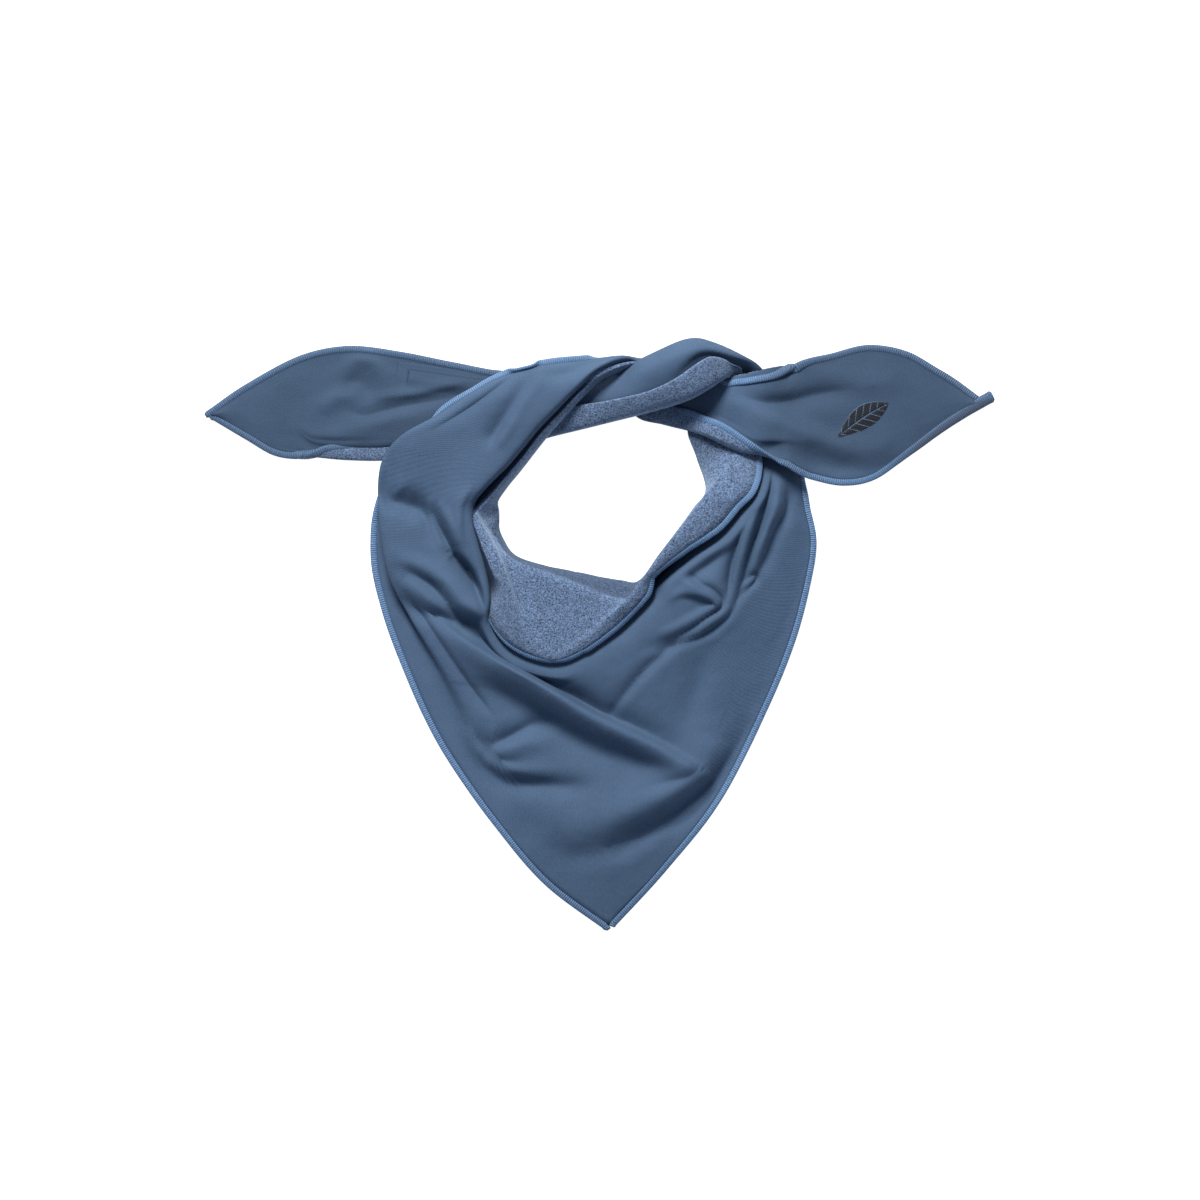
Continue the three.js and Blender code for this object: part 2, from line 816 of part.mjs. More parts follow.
// Unit normal of the middle surface, towards the smooth outer face
function clothNormal(section, place) {
  const [ds, dv] = [0.02, 0.02];
  const s0 = clamp(section - ds, 0, LAST_SECTION);
  const s1 = clamp(section + ds, 0, LAST_SECTION);
  const v0 = clamp(place - dv, 0, RIM_KNOT);
  const v1 = clamp(place + dv, 0, RIM_KNOT);
  const along = new THREE.Vector3(...clothPoint(s1, place)).sub(new THREE.Vector3(...clothPoint(s0, place)));
  const across = new THREE.Vector3(...clothPoint(section, v1)).sub(new THREE.Vector3(...clothPoint(section, v0)));
  return along.cross(across).normalize();
}

// Places across the cloth at which the faceted solid has its rows
const ROW_COUNTS = [2, 2, 2, 1, 1, 1, 1, 1, 1, 1, 1, 1, 2, 3, 4, 1, 2];
const ROWS = [0];
ROW_COUNTS.forEach((count, i) => {
  for (let k = 1; k <= count; k += 1) ROWS.push(i + k / count);
});

// Section numbers of the columns between two sections
function sectionsBetween(from, to) {
  const list = [0];
  for (const [a, b, steps] of COLUMN_PLAN) {
    for (let k = 1; k <= steps; k += 1) list.push(a + ((b - a) * k) / steps);
  }
  const inside = list.filter((section) => section > from + 0.12 && section < to - 0.12);
  return [from, ...inside, to];
}

// One closed geometry from a list of closed rings with the same number of points
function closedRings(rings) {
  const positions = rings.flat(2);
  const around = rings[0].length;
  const index = [];
  for (let r = 0; r + 1 < rings.length; r += 1) {
    for (let k = 0; k < around; k += 1) {
      const a = r * around + k;
      const b = r * around + ((k + 1) % around);
      index.push(a, b, b + around, a, b + around, a + around);
    }
  }
  const lastRing = (rings.length - 1) * around;
  for (let k = 1; k + 1 < around; k += 1) {
    index.push(0, k + 1, k);
    index.push(lastRing, lastRing + k, lastRing + k + 1);
  }
  return solidGeometry(positions, index);
}

// Geometry with its faces turned outwards
function solidGeometry(positions, index) {
  let volume = 0;
  for (let i = 0; i < index.length; i += 3) {
    const [a, b, c] = [index[i] * 3, index[i + 1] * 3, index[i + 2] * 3];
    volume += positions[a] * (positions[b + 1] * positions[c + 2] - positions[b + 2] * positions[c + 1]);
    volume += positions[a + 1] * (positions[b + 2] * positions[c] - positions[b] * positions[c + 2]);
    volume += positions[a + 2] * (positions[b] * positions[c + 1] - positions[b + 1] * positions[c]);
  }
  if (volume < 0) {
    for (let i = 0; i < index.length; i += 3) [index[i + 1], index[i + 2]] = [index[i + 2], index[i + 1]];
  }
  const geometry = new THREE.BufferGeometry();
  geometry.setAttribute("position", new THREE.Float32BufferAttribute(positions, 3));
  geometry.setIndex(index);
  geometry.computeVertexNormals();
  return geometry;
}

// Cloth wall: the middle surface thickened to both sides and closed along its edges
function clothGeometry() {
  const sections = sectionsBetween(0, LAST_SECTION);
  const columns = sections.length;
  const rows = ROWS.length;
  const positions = [];
  for (const side of [0.5, -0.5]) {
    for (let c = 0; c < columns; c += 1) {
      const section = sections[c];
      for (const place of ROWS) {
        const p = clothPoint(section, place);
        const n = clothNormal(section, place).multiplyScalar(side * CLOTH_THICKNESS);
        positions.push(p[0] + n.x, p[1] + n.y, Math.max(0, p[2] + n.z));
      }
    }
  }
  const top = (c, r) => c * rows + r;
  const bottom = (c, r) => columns * rows + c * rows + r;
  const index = [];
  const quad = (a, b, c, d) => index.push(a, b, c, a, c, d);
  for (let c = 0; c + 1 < columns; c += 1) {
    for (let r = 0; r + 1 < rows; r += 1) {
      quad(top(c, r), top(c, r + 1), top(c + 1, r + 1), top(c + 1, r));
      quad(bottom(c, r), bottom(c + 1, r), bottom(c + 1, r + 1), bottom(c, r + 1));
    }
    quad(top(c, 0), top(c + 1, 0), bottom(c + 1, 0), bottom(c, 0));
    quad(top(c, rows - 1), bottom(c, rows - 1), bottom(c + 1, rows - 1), top(c + 1, rows - 1));
  }
  for (let r = 0; r + 1 < rows; r += 1) {
    quad(top(0, r), bottom(0, r), bottom(0, r + 1), top(0, r + 1));
    quad(top(columns - 1, r), top(columns - 1, r + 1), bottom(columns - 1, r + 1), bottom(columns - 1, r));
  }
  return solidGeometry(positions, index);
}

// Overlocked edge: a flattened cord laid along one rim of the cloth, with a thread stub at its ends
function bindingGeometry(from, to, place, stubs) {
  const step = 0.02;
  const sign = place === 0 ? 1 : -1;
  const frames = sectionsBetween(from, to).map((section) => {
    const a = new THREE.Vector3(...clothPoint(clamp(section - step, from, to), place));
    const b = new THREE.Vector3(...clothPoint(clamp(section + step, from, to), place));
    const rim = new THREE.Vector3(...clothPoint(section, place));
    const tangent = b.sub(a).normalize();
    const normal = clothNormal(clamp(section, from + step, to - step), place);
    const away = normal.clone().cross(tangent).normalize().multiplyScalar(-sign);
    const inside = new THREE.Vector3(...clothPoint(section, place + 0.1 * sign));
    if (away.dot(rim.clone().sub(inside)) < 0) away.negate();
    const squeeze = place === 0 ? KNOT_SQUEEZE : SHORT_EDGE_SQUEEZE;
    return { rim, tangent, normal, away, scale: stepValue(squeeze, section) };
  });
  const extend = (frame, length) => ({
    ...frame,
    rim: frame.rim.clone().addScaledVector(frame.tangent, length),
    scale: 0.75,
  });
  if (stubs[0]) frames.unshift(extend(frames[0], -stubs[0]));
  if (stubs[1]) frames.push(extend(frames[frames.length - 1], stubs[1]));
  const rings = frames.map(({ rim, normal, away, scale }) => {
    const centre = rim.clone().addScaledVector(away, BINDING_GAP + (scale * BINDING_WIDTH) / 2);
    const ring = [];
    for (let k = 0; k < BINDING_SIDES; k += 1) {
      const angle = (2 * Math.PI * k) / BINDING_SIDES;
      const p = centre
        .clone()
        .addScaledVector(away, (scale * Math.cos(angle) * BINDING_WIDTH) / 2)
        .addScaledVector(normal, (scale * Math.sin(angle) * BINDING_THICKNESS) / 1.73);
      ring.push([p.x, p.y, Math.max(0, p.z)]);
    }
    return ring;
  });
  return closedRings(rings);
}

// Section and place of the tail's surface that lie over a plan position
function placeOver(x, y, section, place) {
  for (let turn = 0; turn < 12; turn += 1) {
    const p = clothPoint(section, place);
    const a = clothPoint(section + 0.01, place);
    const b = clothPoint(section, place + 0.01);
    const [ax, ay, bx, by] = [a[0] - p[0], a[1] - p[1], b[0] - p[0], b[1] - p[1]].map((v) => v * 100);
    const det = ax * by - ay * bx;
    const [dx, dy] = [x - p[0], y - p[1]];
    section = clamp(section + (dx * by - dy * bx) / det, 44, 49.5);
    place = clamp(place + (ax * dy - ay * dx) / det, 1, RIM_KNOT - 0.5);
  }
  return [section, place];
}

// Embroidered leaf: a thin pointed plate that follows the tail, thicker along its midrib
function leafGeometry() {
  const turn = THREE.MathUtils.degToRad(LEAF_TURN_DEG);
  const rings = [];
  for (let i = 0; i <= LEAF_STEPS; i += 1) {
    const t = i / LEAF_STEPS;
    const half = Math.max(0.5, (LEAF_WIDTH / 2) * Math.sin(Math.PI * t ** 1.25) ** 0.85);
    const upper = [];
    const lower = [];
    for (let k = -2; k <= 2; k += 1) {
      const along = (t - 0.5) * LEAF_LENGTH;
      const side = (k / 2) * half;
      const x = planX(LEAF_X) + along * Math.cos(turn) - side * Math.sin(turn);
      const y = planY(LEAF_Y) + along * Math.sin(turn) + side * Math.cos(turn);
      const [section, place] = placeOver(x, y, 46.2, 13);
      const p = new THREE.Vector3(...clothPoint(section, place));
      const n = clothNormal(section, place);
      const rise = CLOTH_THICKNESS / 2 + LEAF_LIFT;
      const thick = LEAF_THICKNESS * (k === 0 ? 1.3 : 1);
      lower.push(p.clone().addScaledVector(n, rise).toArray());
      upper.push(p.clone().addScaledVector(n, rise + thick).toArray());
    }
    rings.push([...upper, ...lower.reverse()]);
  }
  return closedRings(rings);
}

function namedMesh(name, geometry, color) {
  const material = new THREE.MeshStandardMaterial({ color, roughness: 0.9 });
  const mesh = new THREE.Mesh(geometry, material);
  mesh.name = name;
  return mesh;
}

const scarf = new THREE.Group();
scarf.name = "scarf";
scarf.add(namedMesh("scarf_cloth", clothGeometry(), 0x50668a));
scarf.add(namedMesh("neck_edge_binding", bindingGeometry(0, LAST_SECTION, 0, [2.5, 1.5]), 0x6f97c4));
scarf.add(namedMesh("right_edge_binding", bindingGeometry(0, 22.84, RIM_KNOT, [9.5, 0]), 0x6f97c4));
scarf.add(namedMesh("left_edge_binding", bindingGeometry(23.03, LAST_SECTION, RIM_KNOT, [STUB_LENGTH, 14]), 0x6f97c4));
scarf.add(namedMesh("embroidered_leaf", leafGeometry(), 0x1c2434));

export default scarf;
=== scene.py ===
"""Looks of a triangular neckerchief of two-faced cloth, tied in a half knot and laid flat.

The object is in metres, +Z up, +Y towards the knot, on the floor at z = 0. The tables are on a drawing grid
of 0.6 mm, x to the right and y towards the front tip, with heights in mm above the floor.
"""

import bpy
import numpy as np
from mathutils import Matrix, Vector


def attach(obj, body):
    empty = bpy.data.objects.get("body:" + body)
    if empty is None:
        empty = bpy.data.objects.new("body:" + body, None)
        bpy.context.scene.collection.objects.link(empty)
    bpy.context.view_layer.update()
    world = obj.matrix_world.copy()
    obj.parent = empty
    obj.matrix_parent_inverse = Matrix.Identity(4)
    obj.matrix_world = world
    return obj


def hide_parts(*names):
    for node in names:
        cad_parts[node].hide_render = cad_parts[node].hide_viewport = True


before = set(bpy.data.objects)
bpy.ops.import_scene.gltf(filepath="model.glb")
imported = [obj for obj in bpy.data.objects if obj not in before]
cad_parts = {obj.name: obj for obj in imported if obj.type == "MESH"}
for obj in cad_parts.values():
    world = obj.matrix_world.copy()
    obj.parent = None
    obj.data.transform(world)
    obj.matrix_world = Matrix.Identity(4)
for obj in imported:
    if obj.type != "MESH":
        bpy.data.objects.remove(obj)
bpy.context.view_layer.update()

# Drawing grid: its step in metres, and its point at the object's origin
GRID = 0.0006
GRID_X0, GRID_Y0 = 600, 635.6
MM = 0.001

# Cloth and overlocked edges, mm. The edge covers the cloth's rim by BINDING_COVER.
CLOTH_THICKNESS = 1.4
BINDING_WIDTH = 4.2
BINDING_HALF_THICKNESS = 1.15
BINDING_COVER = 1.1
STITCH_PITCH = 1.3
BINDING_STEP = STITCH_PITCH / 2.6
BINDING_SIDES = 16

# Sections along the scarf: 0 is the left tail's corner, 23 the front tip and 50 the right tail's corner. The
# tails flatten before section 2 and beyond section 44, on the right within RIGHT_TAIL_SPREAD sections.
LEFT_TAIL_END = 2
TIP_SECTION = 23
RIGHT_TAIL_START = 44
RIGHT_TAIL_SPREAD = 1.2
LAST_SECTION = 50

# Knots of a cross-section: neck edge 0, collar ridge 1, lip 2, opening fold 3, pleats 4 to 11, turn 12,
# roll 13, crown 14, brow 15, foot 16 and rim 17
LIP_KNOT, FOLD_KNOT = 2, 3
ROLL_KNOT, CROWN_KNOT, BROW_KNOT, FOOT_KNOT, RIM_KNOT = 13, 14, 15, 16, 17

# Rails along the scarf, from the left tail through the knot, round the neck and back through the knot to the
# right tail. The neck edge and the short edge run from corner to corner, the others from section 2 to 44.
# Columns: section, x, y, height in mm.

NECK_EDGE = np.array([
    (0, 213.5, 420.5, 2), (1, 248, 441, 2), (1.5, 273, 455.2, 2.1), (2, 296, 459.3, 2.6),
    (2.12, 303, 456.8, 4.2), (2.25, 309, 453.6, 4.8), (2.5, 323, 446.2, 4.6), (3, 346, 442.5, 2.8),
    (4, 394, 437.5, 2.2), (5, 450, 428, 3), (6, 510, 424, 4), (7, 564, 420.5, 9), (8, 608, 411.5, 16.6),
    (9, 648, 399, 22.9), (10, 680, 386, 27), (11, 705, 372, 26.2), (12, 713.2, 369.3, 23.6),
    (12.5, 742.8, 373.1, 10.7), (13, 736.9, 384, 6.4), (14, 750, 420, 7), (15, 762, 460, 11),
    (16, 757, 490, 20), (17, 740, 510, 22), (18, 720, 532, 23), (19, 692, 549, 23), (20, 660, 574, 23),
    (21, 650, 598, 22), (22, 622, 628, 21), (23, 590, 652, 20), (24, 560, 664, 20), (25, 529, 659.5, 19.5),
    (26, 503.5, 645, 19.5), (27, 486, 620.5, 17), (28, 484, 597, 8), (29, 480, 572, 5), (30, 472, 540, 4),
    (31, 467, 510, 4), (32, 474, 484, 6), (33, 494, 461, 7), (34, 508, 438, 9), (35, 522, 417, 12),
    (36, 544, 398, 18), (37, 565, 379, 23.4), (38, 592.5, 366.2, 23.1), (39, 623, 364.8, 8.5),
    (39.5, 629.1, 365, 15), (40, 650.1, 391.5, 6.8), (41, 700, 414, 11), (42, 724, 424, 17.5),
    (43, 752, 443, 21), (43.5, 767, 455, 20.5), (44, 783, 466, 19.5), (44.5, 796, 474, 16.5),
    (45, 811, 480, 12), (46, 843, 486, 8), (47, 874, 480, 5), (48, 908, 457, 4), (49, 945, 431, 3),
    (49.6, 966.5, 417.3, 2.8), (50, 980.5, 409.3, 2.6),
])

COLLAR_RIDGE = np.array([
    (2, 296, 451, 2.4), (2.12, 303, 453.8, 1.5), (2.25, 309, 455.6, 1.8), (2.5, 323, 456.3, 3.2),
    (3, 347, 457.4, 4), (4, 392, 459, 4.6), (5, 450, 450, 5), (6, 510, 438, 8), (7, 566, 410.5, 15.8),
    (8, 605, 403, 22.8), (9, 646, 394, 29.4), (10, 675, 381, 33.2), (11, 702, 362.5, 32.4),
    (12, 717, 359.5, 28), (12.5, 739, 369, 13.8), (13, 740, 380, 8.8), (14, 732, 425, 8),
    (15, 738, 455, 12.5), (16, 710, 491, 23), (17, 695, 510, 25), (18, 679, 531, 26), (19, 661, 555, 26),
    (20, 642, 580, 25.5), (21, 627, 600, 24.5), (22, 602, 622, 23.5), (23, 572, 645, 22.5),
    (24, 545, 655, 22.5), (25, 528, 640, 24), (26, 518, 620, 24), (27, 508, 592, 24), (28, 496, 580, 22),
    (29, 488, 561, 21), (30, 479, 538, 19.5), (31, 474, 516, 18.5), (32, 491, 495, 18.5),
    (33, 508, 474, 19.5), (34, 525, 454, 21.5), (35, 541, 433, 23.5), (36, 560, 413, 25),
    (37, 581, 391, 26), (38, 604, 373.5, 24), (39, 638, 363.5, 14), (39.5, 643, 382, 6.6),
    (40, 655, 402, 6), (41, 690, 422, 9), (42, 714, 436, 15.5), (43, 748, 450, 19), (43.5, 767, 457, 15.5),
    (44, 785, 460, 18.6),
])

COLLAR_LIP = np.array([
    (2, 297, 445, 2.7), (2.25, 309, 454.5, 1.6), (2.5, 323, 457, 2.2), (3, 347, 459, 2.8), (4, 393, 458, 3),
    (5, 450, 450, 3.6), (6, 510, 445, 4), (7, 562, 432, 11.5), (8, 612, 419, 18), (9, 655, 408, 24.3),
    (10, 690, 396, 27.8), (11, 712, 384, 26.5), (12, 726, 376, 20.5), (12.5, 734, 374, 10.2),
    (13, 731, 390, 6), (14, 710, 425, 5), (15, 712, 458, 8), (16, 711, 490, 19), (17, 698, 509, 20),
    (18, 682, 531, 20), (19, 664, 555, 20), (20, 646, 580, 21), (21, 628, 599, 22), (22, 607, 597, 20),
    (23, 578, 586, 19), (24, 545, 573, 18), (25, 520, 564, 17), (26, 508, 557, 17), (27, 501, 548, 16),
    (28, 496, 540, 14), (29, 491, 532, 12), (30, 486, 522, 12), (31, 485, 511, 14), (32, 498, 492, 15),
    (33, 513, 474, 16.5), (34, 529, 455, 18.5), (35, 545, 435, 21), (36, 563, 415, 23), (37, 584, 393, 24),
    (38, 605, 375.5, 19.5), (39, 640, 367, 9.5), (39.5, 640, 385, 5), (40, 646, 408, 4.5),
    (41, 680, 424, 6), (42, 708, 435, 13), (43, 745, 452, 17.5), (43.5, 767, 455, 14.5), (44, 786, 456, 18),
])

OPENING_FOLD = np.array([
    (2, 297, 439, 2.8), (2.25, 309, 449, 1.5), (2.5, 323, 455, 1.6), (3, 347, 459, 1.8), (4, 393, 459, 1.8),
    (5, 450, 451, 1.8), (6, 510, 446, 1.9), (7, 560, 433, 5), (8, 608, 421, 10), (9, 652, 410, 15.5),
    (10, 684, 400, 17.5), (11, 707, 388, 16), (12, 719, 381.5, 15.5), (12.5, 731, 376.5, 7),
    (13, 714, 397, 2.2), (14, 688, 426, 2), (15, 697, 457, 2), (16, 708, 490, 2.4), (17, 695, 510, 2.4),
    (18, 680, 531, 2.2), (19, 661, 556, 2), (20, 641, 582, 2), (21, 622, 581, 2), (22, 600, 578, 2),
    (23, 575, 574, 2), (24, 548, 570, 2), (25, 525, 564, 2), (26, 512, 556, 2), (27, 503, 542, 2),
    (28, 498, 530, 2), (29, 498, 521, 2), (30, 498, 512, 2), (31, 497, 500, 2), (32, 506, 486, 2.4),
    (33, 518, 472, 6), (34, 531, 456, 9), (35, 547, 436, 12.5), (36, 564, 417, 15), (37, 585, 394.5, 16.5),
    (38, 606, 377, 15.5), (39, 640, 369, 5.5), (39.5, 637, 389, 3), (40, 634, 414, 1.9),
    (41, 665, 424, 1.9), (42, 702, 434, 8.5), (43, 742, 452, 15.5), (43.5, 767, 452, 14),
    (44, 786, 450, 17.5),
])

# How far out the pleats under the collar reach. Columns: section, x, y.
PLEAT_REACH = np.array([
    (2, 298, 425), (2.5, 324, 415), (3, 350, 400), (4, 395, 400), (5, 452, 396), (6, 510, 392),
    (7, 560, 388), (8, 602, 384), (9, 646, 370), (10, 684, 358), (11, 708, 358), (12, 736, 368),
    (12.5, 748, 372), (13, 760, 388), (14, 775, 430), (15, 782, 468), (16, 780, 496), (17, 765, 520),
    (18, 742, 546), (19, 713, 572), (20, 688, 596), (21, 670, 620), (22, 642, 648), (23, 600, 680),
    (24, 560, 692), (25, 520, 688), (26, 482, 672), (27, 458, 645), (28, 443, 618), (29, 430, 588),
    (30, 418, 556), (31, 410, 522), (32, 410, 482), (33, 430, 452), (34, 456, 428), (35, 484, 406),
    (36, 514, 390), (37, 550, 376), (38, 590, 367), (39, 628, 359.5), (39.5, 651, 367), (40, 680, 370),
    (41, 710, 392), (42, 735, 388), (43, 760, 388), (44, 792, 385),
])

ROLL = np.array([
    (2, 298, 428, 2.9), (2.25, 310, 438, 3.0), (2.5, 323.5, 440.5, 3.5), (3, 346, 441.5, 4.6),
    (4, 394, 440.5, 5), (5, 450, 429, 5.6), (6, 510, 424, 6.5), (7, 566, 408, 9.5), (8, 604, 401, 15.5),
    (9, 644, 392, 23), (10, 673, 378.5, 27), (11, 698, 358, 27), (12, 722, 358, 22), (12.5, 743, 366, 11.5),
    (13, 748, 378, 6), (14, 764, 420, 4.5), (15, 769, 464, 7.5), (16, 764, 494, 18), (17, 748, 518, 20),
    (18, 728, 541, 21), (19, 702, 558, 21), (20, 672, 582, 21), (21, 660, 605, 20), (22, 628, 640, 19),
    (23, 594, 664, 18), (24, 562, 676, 18), (25, 527, 670, 17.5), (26, 499, 652, 17), (27, 486, 628, 18.5),
    (28, 487, 602, 22.5), (29, 481, 571, 23), (30, 471.5, 536, 24), (31, 467, 507, 25),
    (32, 483, 486.5, 26), (33, 505, 464.5, 27), (34, 520, 446.5, 28.5), (35, 536, 427, 30),
    (36, 555, 407.5, 31.5), (37, 576, 387, 31.5), (38, 598.5, 368, 28.5), (39, 629, 358.5, 17.5),
    (39.5, 648, 372, 9.4), (40, 668, 385, 8), (41, 703, 410, 8), (42, 726, 420, 13), (43, 756, 436, 17.5),
    (44, 787, 440, 18),
])

CROWN = np.array([
    (2, 299, 410, 3.0), (3, 347, 415, 4.4), (4, 395, 415, 5), (5, 451, 408, 5.8), (6, 510, 405, 6),
    (7, 563, 397, 9), (8, 604, 391, 14.5), (8.5, 625, 380, 17.5), (9, 644, 373, 25), (10, 680, 356, 30),
    (11, 706, 350, 29), (12, 735, 358, 21), (12.5, 749, 366, 12), (13, 758, 380, 6), (14, 775, 425, 4.8),
    (15, 781, 468, 8), (16, 782, 500, 13), (17, 772, 530, 14), (18, 755, 565, 13.5), (19, 735, 600, 13),
    (20, 718, 650, 11.5), (21, 695, 700, 11), (22, 655, 742, 11), (23, 606, 724, 11.5), (24, 565, 705, 12),
    (25, 520, 680, 13.5), (26, 478, 655, 16), (27, 452, 630, 15), (28, 442, 605, 16), (29, 434, 575, 16),
    (30, 426, 545, 17), (31, 427, 508, 18), (32, 442, 470, 22), (33, 460, 443, 25), (34, 481, 423, 28),
    (35, 503, 405, 31), (36, 526, 390, 31.5), (37, 557, 375, 30), (38, 590, 366, 25),
    (39, 626, 357.5, 16.5), (39.5, 651, 367.5, 8.8), (40, 675, 376, 8), (41, 708, 398, 9.5),
    (42, 732, 405, 15), (43, 760, 412, 18), (44, 790, 420, 15),
])

BROW = np.array([
    (2, 300, 380, 3.2), (3, 349, 378, 3.4), (4, 397, 380, 4), (5, 452, 384, 5), (6, 510, 386, 5),
    (7, 561, 382, 6.5), (8, 603, 383, 10), (8.5, 624, 369.5, 13), (9, 650, 356, 18), (10, 688, 340.5, 21),
    (11, 714, 344.5, 20), (12, 747, 359.5, 14), (12.5, 759, 368, 9), (13, 769, 383, 5), (14, 790, 432, 4.2),
    (15, 794, 474, 6), (16, 798, 505, 6), (17, 799, 540, 5), (18, 789, 576, 5), (19, 771, 628, 5),
    (20, 743, 690, 5), (21, 706, 765, 6), (22, 655, 830, 6.5), (23, 607, 850, 6.5), (24, 552, 812, 7),
    (25, 506, 765, 7.5), (26, 470, 710, 8), (27, 443, 665, 9), (28, 412, 617, 10), (29, 393, 579, 13),
    (30, 384.5, 540, 15), (31, 379.5, 495, 16.5), (32, 384, 461, 18), (33, 404, 436, 21),
    (34, 446, 414, 24), (35, 477, 394, 27), (36, 505, 380, 27.5), (37, 545, 369, 27), (38, 584, 363.5, 23),
    (39, 623.5, 357, 12.5), (39.5, 653, 363.5, 7.8), (40, 683, 367, 7.5), (41, 712, 389, 10.4),
    (42, 735, 391, 15), (43, 762, 391, 17.5), (44, 792, 389, 14.5),
])

BROW_FOOT = np.array([
    (2, 300, 367, 2.7), (3, 350, 362, 2.8), (4, 399, 366, 3.2), (5, 453, 373, 4), (6, 510, 378, 4),
    (7, 560, 376, 5), (8, 602, 378, 7.5), (8.5, 625, 367, 13), (9, 650, 358.5, 17.5), (10, 689, 346, 16),
    (11, 716, 350, 14), (12, 750, 363, 8.5), (12.5, 762, 371, 6), (13, 770, 386, 3.6), (14, 794, 435, 3),
    (15, 799, 478, 4), (16, 803, 505, 3.6), (17, 807, 540, 3), (18, 799, 577, 3), (19, 782, 634, 2.6),
    (20, 755, 700, 2.6), (21, 714, 780, 2.8), (22, 659, 851, 3), (23, 608, 888, 3), (24, 549, 846, 3),
    (25, 501, 796, 3), (26, 462, 722, 2.4), (27, 439, 673, 2.6), (28, 413, 621, 2.2), (29, 395, 583, 2.2),
    (30, 387, 541, 2.2), (31, 390.9, 491.9, 2.4), (32, 402.6, 457.1, 6), (33, 416.5, 434.8, 15.9),
    (34, 443, 412.5, 18), (35, 474.5, 392.5, 23), (36, 502.5, 378, 24.5), (37, 543, 366.5, 23.5),
    (38, 582, 362, 21), (39, 623, 357.5, 9), (39.5, 653.5, 361.5, 6.8), (40, 687, 364, 6.5),
    (41, 714, 379, 10.6), (42, 737, 375.7, 14.8), (43, 762, 370, 16.6), (43.5, 777, 367, 14.8),
    (43.75, 787, 366.5, 12.2), (44, 797, 374, 13.4),
])

SHORT_EDGE = np.array([
    (0, 209.5, 409, 2), (1, 246, 384, 2), (2, 300, 355.5, 2.4), (3, 350, 345.7, 2.6), (4, 400.5, 351.6, 3),
    (5, 453, 362, 3.4), (6, 510, 372, 3.6), (7, 560, 370, 4), (8, 595.6, 374.5, 7.7),
    (8.5, 614.2, 378.8, 12.4), (9, 653.9, 378.6, 17.6), (10, 692, 356, 15), (11, 717, 357, 12),
    (12, 751, 368, 6), (12.5, 765, 375, 3.6), (13, 774, 388, 2.6), (14, 798, 438, 2), (15, 803.5, 480, 2),
    (16, 809, 504, 1.6), (17, 816.5, 540, 1.4), (18, 811.5, 580, 1.4), (19, 795.5, 641, 1.4),
    (20, 767, 711, 1.4), (21, 722, 799.5, 1.4), (22, 666, 871, 1.4), (23, 609, 933, 1.4),
    (24, 545, 885, 1.4), (25, 495, 827, 1.4), (26, 452, 767, 1.4), (27, 425, 719.6, 1.4),
    (28, 401, 664.5, 1.4), (29, 382.5, 613.5, 1.4), (30, 371, 562, 1.4), (31, 374, 515, 1.5),
    (32, 392.6, 468.9, 1.9), (32.5, 406.1, 457.2, 11.3), (33, 419.1, 446.4, 15.2), (34, 440, 410.5, 15),
    (35, 472, 391, 21), (36, 500, 376, 23), (37, 541, 364, 22.5), (38, 580, 360, 20), (39, 623, 359.5, 5),
    (39.5, 654, 360, 5.8), (40, 691, 361, 5.5), (41, 715.5, 386, 12.6), (42, 738, 386, 16.8),
    (43, 762, 382.5, 18.6), (43.5, 777, 379, 17.6), (43.75, 787, 373, 17), (44, 798, 362.3, 14.5),
    (45, 831, 353.6, 9), (46, 868, 345, 6), (47, 906, 351, 4.5), (48, 938, 368.5, 3.5),
    (49, 956, 379.5, 2.8), (50, 979.5, 396.8, 2.4),
])

# Width of the neck edge's binding as a share of its full width. Columns: section, share.
KNOT_SQUEEZE = np.array([
    (0, 1), (1.9, 1), (2.08, 1.3), (2.35, 1.3), (2.55, 1), (6.2, 1), (6.8, 0.5), (7.2, 0.5), (7.6, 1),
    (11.6, 1), (12.1, 0.35), (13.8, 0.35), (14.4, 1), (22, 0.9), (25, 0.8), (27, 0.55), (30, 0.4),
    (36.6, 0.4), (37.6, 0.25), (40, 0.25), (40.8, 1), (47.4, 1), (48.4, 1.3), (49.3, 1.55), (50, 1.7),
])

# The same for the two short edges
SHORT_EDGE_SQUEEZE = np.array([
    (0, 1), (7.6, 1), (8.2, 0.35), (13, 0.35), (13.8, 1), (31.2, 1), (31.6, 0.8), (32.8, 0.8), (33.2, 1),
    (38.2, 1), (38.8, 0.35), (41.2, 0.35), (41.6, 1), (43.2, 1), (43.7, 1.3), (43.9, 1.4), (44.05, 1.35),
    (44.5, 1), (50, 1),
])

# How far the cloth under the collar is gathered. Columns: section, share.
PLEAT_SHARE = np.array([
    (3, 0), (7, 0), (8.5, 0.5), (9.5, 0.9), (11.5, 0.9), (12.5, 0), (14.5, 0), (16, 1), (29, 1), (31, 0.8),
    (32.5, 0.2), (34, 0), (44, 0),
])
# Pleat knots between the opening fold and the roll. Columns: reach (0 inner, 1 outer), stacking level.
PLEATS = [
    (1, 0.04), (1, 0.2), (0.22, 0.25), (0.22, 0.41), (1, 0.46), (1, 0.62), (0.22, 0.67), (0.22, 0.83),
]
# Height up to which the pleats stack, as a share of the lower of roll and neck edge, and place of the turn
# between the opening fold and the roll
PLEAT_CEILING, TURN_SHARE = 0.4, 0.8

# Places of the knots of a cross-section across a flat tail, from the neck edge, 0, to the short edge, 17
SPREAD = np.array([0, 0.5, 0.9, 1.3, 1.7, 2, 2.4, 2.7, 3.1, 3.4, 3.8, 4.1, 4.6, 5.4, 8.8, 13, 15, 17]) / 17
